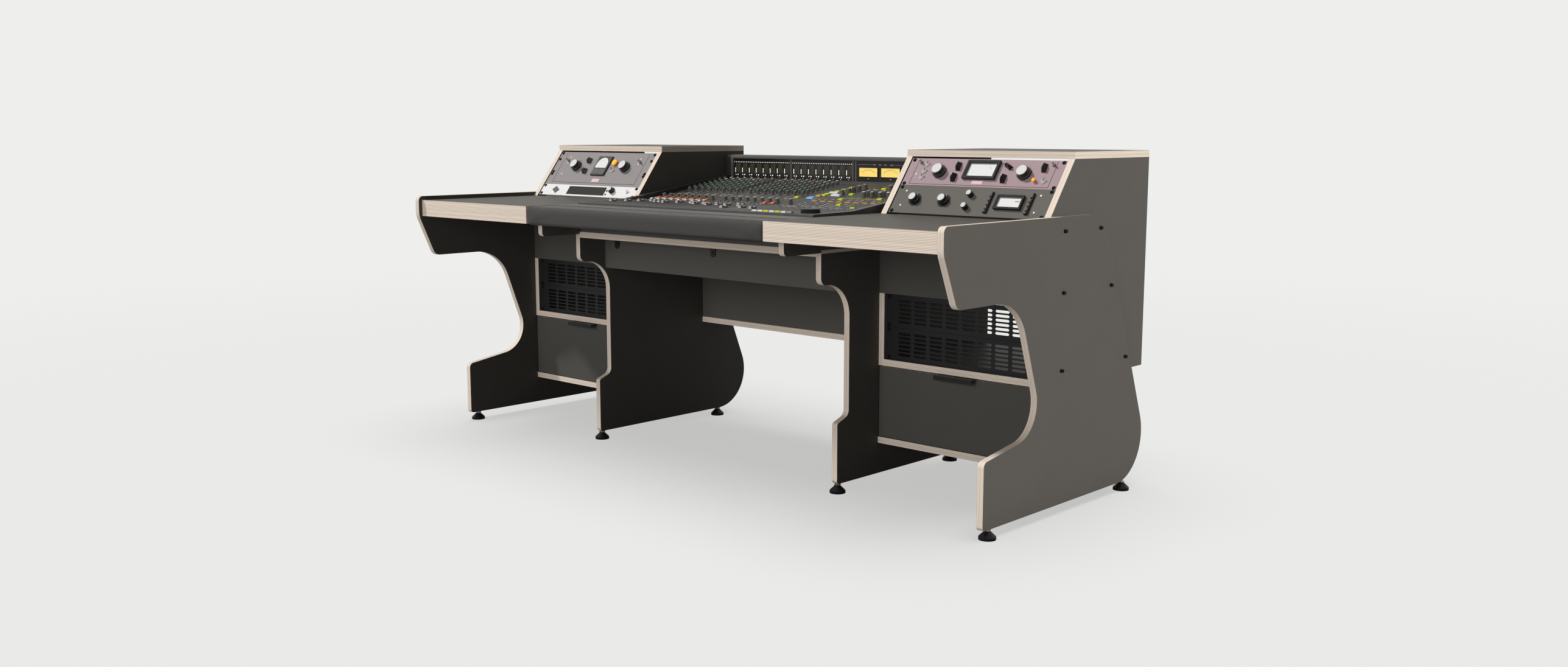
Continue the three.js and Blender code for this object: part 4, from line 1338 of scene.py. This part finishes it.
class DESK_OT_channel_knobs(bpy.types.Operator):
    """Set out the channel knobs in their rows"""

    bl_idname = "desk.channel_knobs"
    bl_label = "Channel knobs"

    front_row, rear_row = 26, 137
    front_tones = (4, 1)
    rear_tones = ((3, 4), (2, 4), (2, 4), (1, 4), (1, 4), (2, 4), (0, 3), (0, 1))

    def execute(self, context):
        finish, pitch, step = knob_skin(), channel_pitch(), settings().console.knob_pitch / MM
        parts, prints, count = [], [], len(self.rear_tones)
        for number, (middle, tone) in enumerate(zip(bank_middles(), self.front_tones)):
            where = SLOPE @ spot(middle, 0, SKIN)
            parts.append(rows(small_knob(6.4, 13.5), finish, where @ spot(0, self.front_row), CHANNELS,
                              pitch, tones=(tone, tone)))
            for row, tones in enumerate(self.rear_tones):
                parts.append(rows(small_knob(5.9, 13), finish,
                                  where @ spot(0, self.rear_row + row * step), CHANNELS, pitch,
                                  tones=tones, seed=5 + 10 * number + row))
            specks = Shape()
            for x, y in ((-9, -4), (9, -4), (-7, 7), (7, 7), (0, -10)):
                specks.block((x - 1, y - 0.7, 0), (x + 1, y + 0.7, 0.25))
            rear_middle = self.rear_row + step * (count - 1) / 2
            prints.append(rows(specks, white_print(), where @ spot(0, rear_middle), CHANNELS, pitch,
                               count, step))
        parts.append(repeats("last", small_knob(6.4, 13.5), [toned(119, 24, 1)], finish, SLOPE))
        join("channel_knobs", parts)
        join("channel_prints", prints)
        return {"FINISHED"}


class DESK_OT_channel_keys(bpy.types.Operator):
    """Set out the channel keys and the faders"""

    bl_idname = "desk.channel_keys"
    bl_label = "Channel keys and faders"

    # Bank, panel, shift from the bank's middle, y, size, lowest and highest tone, rows, step and seed.
    own_keys = ((0, LEVEL, -18.5, 461, (11, 14, 3.4), (WHITE, WHITE), 1, 1, 1),
                (0, SLOPE, -18.5, 6, (11, 9, 3.4), (WHITE, WHITE), 1, 1, 1),
                (0, SLOPE, -18.5, 20, (11, 12, 3.8), (ORANGE_RED, ORANGE_RED), 1, 1, 1),
                (1, LEVEL, -15, 448, (8, 5, 2), (GREY, DARK), 2, 13, 7),
                (1, SLOPE, -15, 12, (8, 5, 2), (GREY, DARK), 2, 11, 8))
    # The same for the keys that both banks have, with a seed for each bank.
    shared_keys = ((SLOPE, -15.5, 78, (13, 2.4, 1.2), (AMBER, AMBER), 1, 1, (1, 1)),
                   (SLOPE, -13, 52, (8, 2.2, 1), (GREY, DARK), 2, 9, (11, 12)),
                   (SLOPE, 0, 98, (14, 2.2, 1), (GREY, DARK), 3, 8, (21, 22)),
                   (LEVEL, -15, 415, (6, 3, 1), (GREY, DARK), 3, 11, (31, 32)))
    fader_places = ((283, 316, 341, 363, 350, 339, 327, 356),
                    (358, 340, 352, 330, 345, 348, 372, 340))
    master_faders = ((81, 258, 0), (124, 288, 0), (174, 278, 0))

    def execute(self, context):
        finish, pitch, middles = key_skin(), channel_pitch(), bank_middles()
        keys = [*self.own_keys, *((bank, *key, seeds[bank]) for bank in (0, 1)
                                  for *key, seeds in self.shared_keys)]
        parts = [rows(key_cap(*size), finish, panel @ spot(middles[bank] + shift, y, SKIN), CHANNELS,
                      pitch, lines, step, tones, seed)
                 for bank, panel, shift, y, size, tones, lines, step, seed in keys]
        extra = [toned(26.5, 12.8, ORANGE_RED), toned(58.5, 13.3, ORANGE_RED)]
        parts.append(repeats("extra", key_cap(13, 12, 4), extra, finish, SLOPE))
        join("channel_keys", parts)

        places = [(first + pitch * number, y, 0)
                  for first, row in zip(FIRST_CHANNELS, self.fader_places)
                  for number, y in enumerate(row)]
        caps = two_toned("fader cap", sheen_of(112, 110, 107), sheen_of(214, 212, 208), roughness=0.4)
        fit("fader_caps", fader_cap(), caps, LEVEL, places=[*places, *self.master_faders])
        return {"FINISHED"}


class DESK_OT_master_section(bpy.types.Operator):
    """Fill the master section with keys, lit keys and knobs"""

    bl_idname = "desk.master_section"
    bl_label = "Master section"

    # Places and tones.
    knobs = ((197, 166, 3), (203, 190, 1), (204, 210, 2), (207, 231, 1), (215, 250, 1), (291, 150, 0),
             (293, 170, 1), (318, 154, 1), (306, 182, 1), (321, 174, 2), (348, 154, 0), (350, 173, 1),
             (378, 154, 0), (311, 250, 1), (406, 154, 1), (380, 182, 2), (410, 182, 0), (360, 250, 1))
    bright_keys = ((75, 101), (145, 142), (144, 159), (151, 198), (155, 222), (159, 257), (229, 169),
                   (249, 97), (298, 30), (373, 121), (282, 255))
    strip = (WHITE, WHITE, YELLOW_GREEN, WHITE, YELLOW_GREEN, WHITE, GREY)
    # Fields of small keys: panel, size, x, y, columns, pitch, rows, step, tones and seed.
    fields = ((SLOPE, (20, 3.6, 1.6), 281.6, 68, 8, 31.3, 1, 1, (AMBER, AMBER), 1),
              (SLOPE, (6, 2, 1.2), 301, 119, 13, 10, 2, 5, (OLIVE, OLIVE), 1),
              (SLOPE, (6, 2, 1), 301, 134, 13, 10, 1, 5, (GREY, DARK), 3),
              (SLOPE, (12, 3.4, 1.4), 250, 22, 9, 22, 4, 12, (GREY, DARK), 41),
              (SLOPE, (12, 3.4, 1.4), 275, 92, 12, 22, 2, 10, (GREY, DARK), 42),
              (LEVEL, (12, 3.4, 1.4), 260, 430, 13, 22, 4, 14, (GREY, DARK), 43),
              (LEVEL, (10, 3, 1.2), 300, 330, 10, 24, 5, 18, (DARK, DARK), 44))

    def execute(self, context):
        finish = key_skin()
        parts = [rows(key_cap(*size), finish, panel @ spot(x, y, SKIN), *grid)
                 for panel, size, x, y, *grid in self.fields]
        for panel, size, places in (
            (SLOPE, (17, 12, 4), [toned(x, y, YELLOW_GREEN) for x, y in self.bright_keys]),
            (LEVEL, (17, 12, 4), [toned(379, 463, YELLOW_GREEN, 0)]),
            (SLOPE, (17, 12, 4), [toned(135, 131, AMBER)]),
            (SLOPE, (34, 13, 4), [toned(186, 149, WHITE), toned(152, 181, WHITE)]),
            (SLOPE, (26, 18, 4), [toned(131, 101, BLUE)]),
            (LEVEL, (18, 10, 4), [toned(258 + 21 * number, 201, tone, 0)
                                  for number, tone in enumerate(self.strip)]),
        ):
            parts.append(repeats("keys", key_cap(*size), places, finish, panel))
        join("master_keys", parts)
        fit("master_knobs", small_knob(6.8, 15), knob_skin(), SLOPE,
            places=[toned(*knob) for knob in self.knobs])
        return {"FINISHED"}


class DESK_OT_meter_bridge(bpy.types.Operator):
    """Finish the meter bridge: screens, strip meters and the two dial meters"""

    bl_idname = "desk.meter_bridge"
    bl_label = "Meter bridge"

    sections = (-317, -56)
    pitch = 31.5
    # Half width, foot, top, shift from the section's middle, count and pitch.
    lights = ((1.2, 822, 837, -8, 8, pitch), (1.5, 855, 857, 0, 32, pitch / 4),
              (1.6, 813.5, 816.3, -6, 8, pitch), (1.9, 813, 816.5, 3, 8, pitch),
              (0.9, 807.4, 808.8, 0, 8, pitch))
    strips = ((0.7, 822, 851, -2.5, 8, pitch), (0.7, 822, 851, 2.5, 8, pitch),
              (0.7, 822, 851, 7.5, 8, pitch), (0.7, 822, 851, 11.5, 8, pitch),
              (0.3, 806, 853, 0, 9, pitch), (14, 819, 819.5, 0, 8, pitch))
    # Low left and high right corners of the marks round the dial meters.
    marks = ((151, 855, 161, 857), (173.5, 855, 182.5, 857), (194.5, 855, 203.5, 857),
             (218, 855, 230, 857), (129.5, 812, 136.5, 814), (215.5, 812, 222.5, 814),
             (92, 855.6, 146, 856.2), (236, 855.6, 300, 856.2))

    def lay(self, name, bars, thick, finish, slot):
        join(name, [rows(Shape().block((-half, foot, 0), (half, top, thick)), finish,
                         BRIDGE_SCREEN @ spot(middle + shift, 0, SKIN), count, pitch)
                    for middle in self.sections for half, foot, top, shift, count, pitch in bars])

    def execute(self, context):
        dress("meter_bridge", case_paint())
        fit("meter_screen", Shape().block((-442.5, 804.5, 0.05), (442.5, 867.4, SKIN)),
            paint("screen glass", sheen_of(34, 32, 31), 0.25, 0.0), BRIDGE_SCREEN)
        bars = Shape()
        for x in (-185.5, 72, 84):
            bars.block((x - 3, 804.6, 0.4), (x + 3, 867.3, 1.6), draw_in=0.4)
        fit("meter_dividers", bars, paint("divider grey", sheen_of(86, 84, 82), 0.4), BRIDGE_SCREEN)
        self.lay("meter_lights", self.lights, 0.3, lit("meter white", sheen_of(236, 236, 232), 0.5),
                 "white_paint")
        self.lay("meter_strips", self.strips, 0.2, paint("strip olive", sheen_of(92, 88, 70), 0.5),
                 "black_plastic")

        for x, name in ((133, "left"), (219, "right")):
            case = Shape().frame((x - 38, 817.5, 0.5), (x + 38, 848.5, 2.4), 2)
            fit(f"dial_meter_case_{name}", case, black_moulding(), BRIDGE_SCREEN)
            face = Shape().block((x - 36, 819.5, 0.5), (x + 36, 846.5, 1.2))
            fit(f"dial_meter_face_{name}", face, lit("meter scale warm", sheen_of(238, 208, 112), 0.3),
                BRIDGE_SCREEN)
            scale = Shape().band(40, 0.7, 52, 128, 1.22, (x, 800))
            for step in range(11):
                scale.block((-0.25, 40, 1.2), (0.25, 43, 1.4), where=spot(x, 800, 0, 38 - 7.6 * step))
            fit(f"dial_meter_scale_{name}", scale, paint("dial print", sheen_of(176, 136, 70), 0.5),
                BRIDGE_SCREEN)
        marks = Shape()
        for x0, y0, x1, y1 in self.marks:
            marks.block((x0, y0, 0.5), (x1, y1, 0.8))
        fit("meter_marks", marks, paint("meter mark", sheen_of(150, 148, 144), 0.5), BRIDGE_SCREEN)
        return {"FINISHED"}


# Panel and registration ---------------------------------------------------------------------------

OPERATORS = (DESK_OT_stage, DESK_OT_boards, DESK_OT_armrest, DESK_OT_fittings, DESK_OT_cabinets,
             DESK_OT_maroon_unit, DESK_OT_dark_unit, DESK_OT_grey_unit, DESK_OT_white_unit,
             DESK_OT_main_knobs, DESK_OT_console_case, DESK_OT_channel_knobs, DESK_OT_channel_keys,
             DESK_OT_master_section, DESK_OT_meter_bridge)


class DESK_PT_looks(bpy.types.Panel):
    """Lists the steps that dress the desk"""

    bl_label = "Studio desk"
    bl_idname = "DESK_PT_looks"
    bl_space_type = "VIEW_3D"
    bl_region_type = "UI"
    bl_category = "Desk"

    def draw(self, context):
        for operator in OPERATORS:
            self.layout.operator(operator.bl_idname)


CLASSES = (StageLooks, BoardLooks, ArmrestLooks, FittingLooks, UnitLooks, ConsoleLooks, DeskLooks,
           *OPERATORS, DESK_PT_looks)


def register():
    for made in CLASSES:
        bpy.utils.register_class(made)
    bpy.types.Scene.desk_looks = PointerProperty(type=DeskLooks)


def unregister():
    del bpy.types.Scene.desk_looks
    for made in reversed(CLASSES):
        bpy.utils.unregister_class(made)


def main():
    register()
    for operator in OPERATORS:
        group, name = operator.bl_idname.split(".")
        getattr(getattr(bpy.ops, group), name)()


if __name__ == "__main__":
    main()
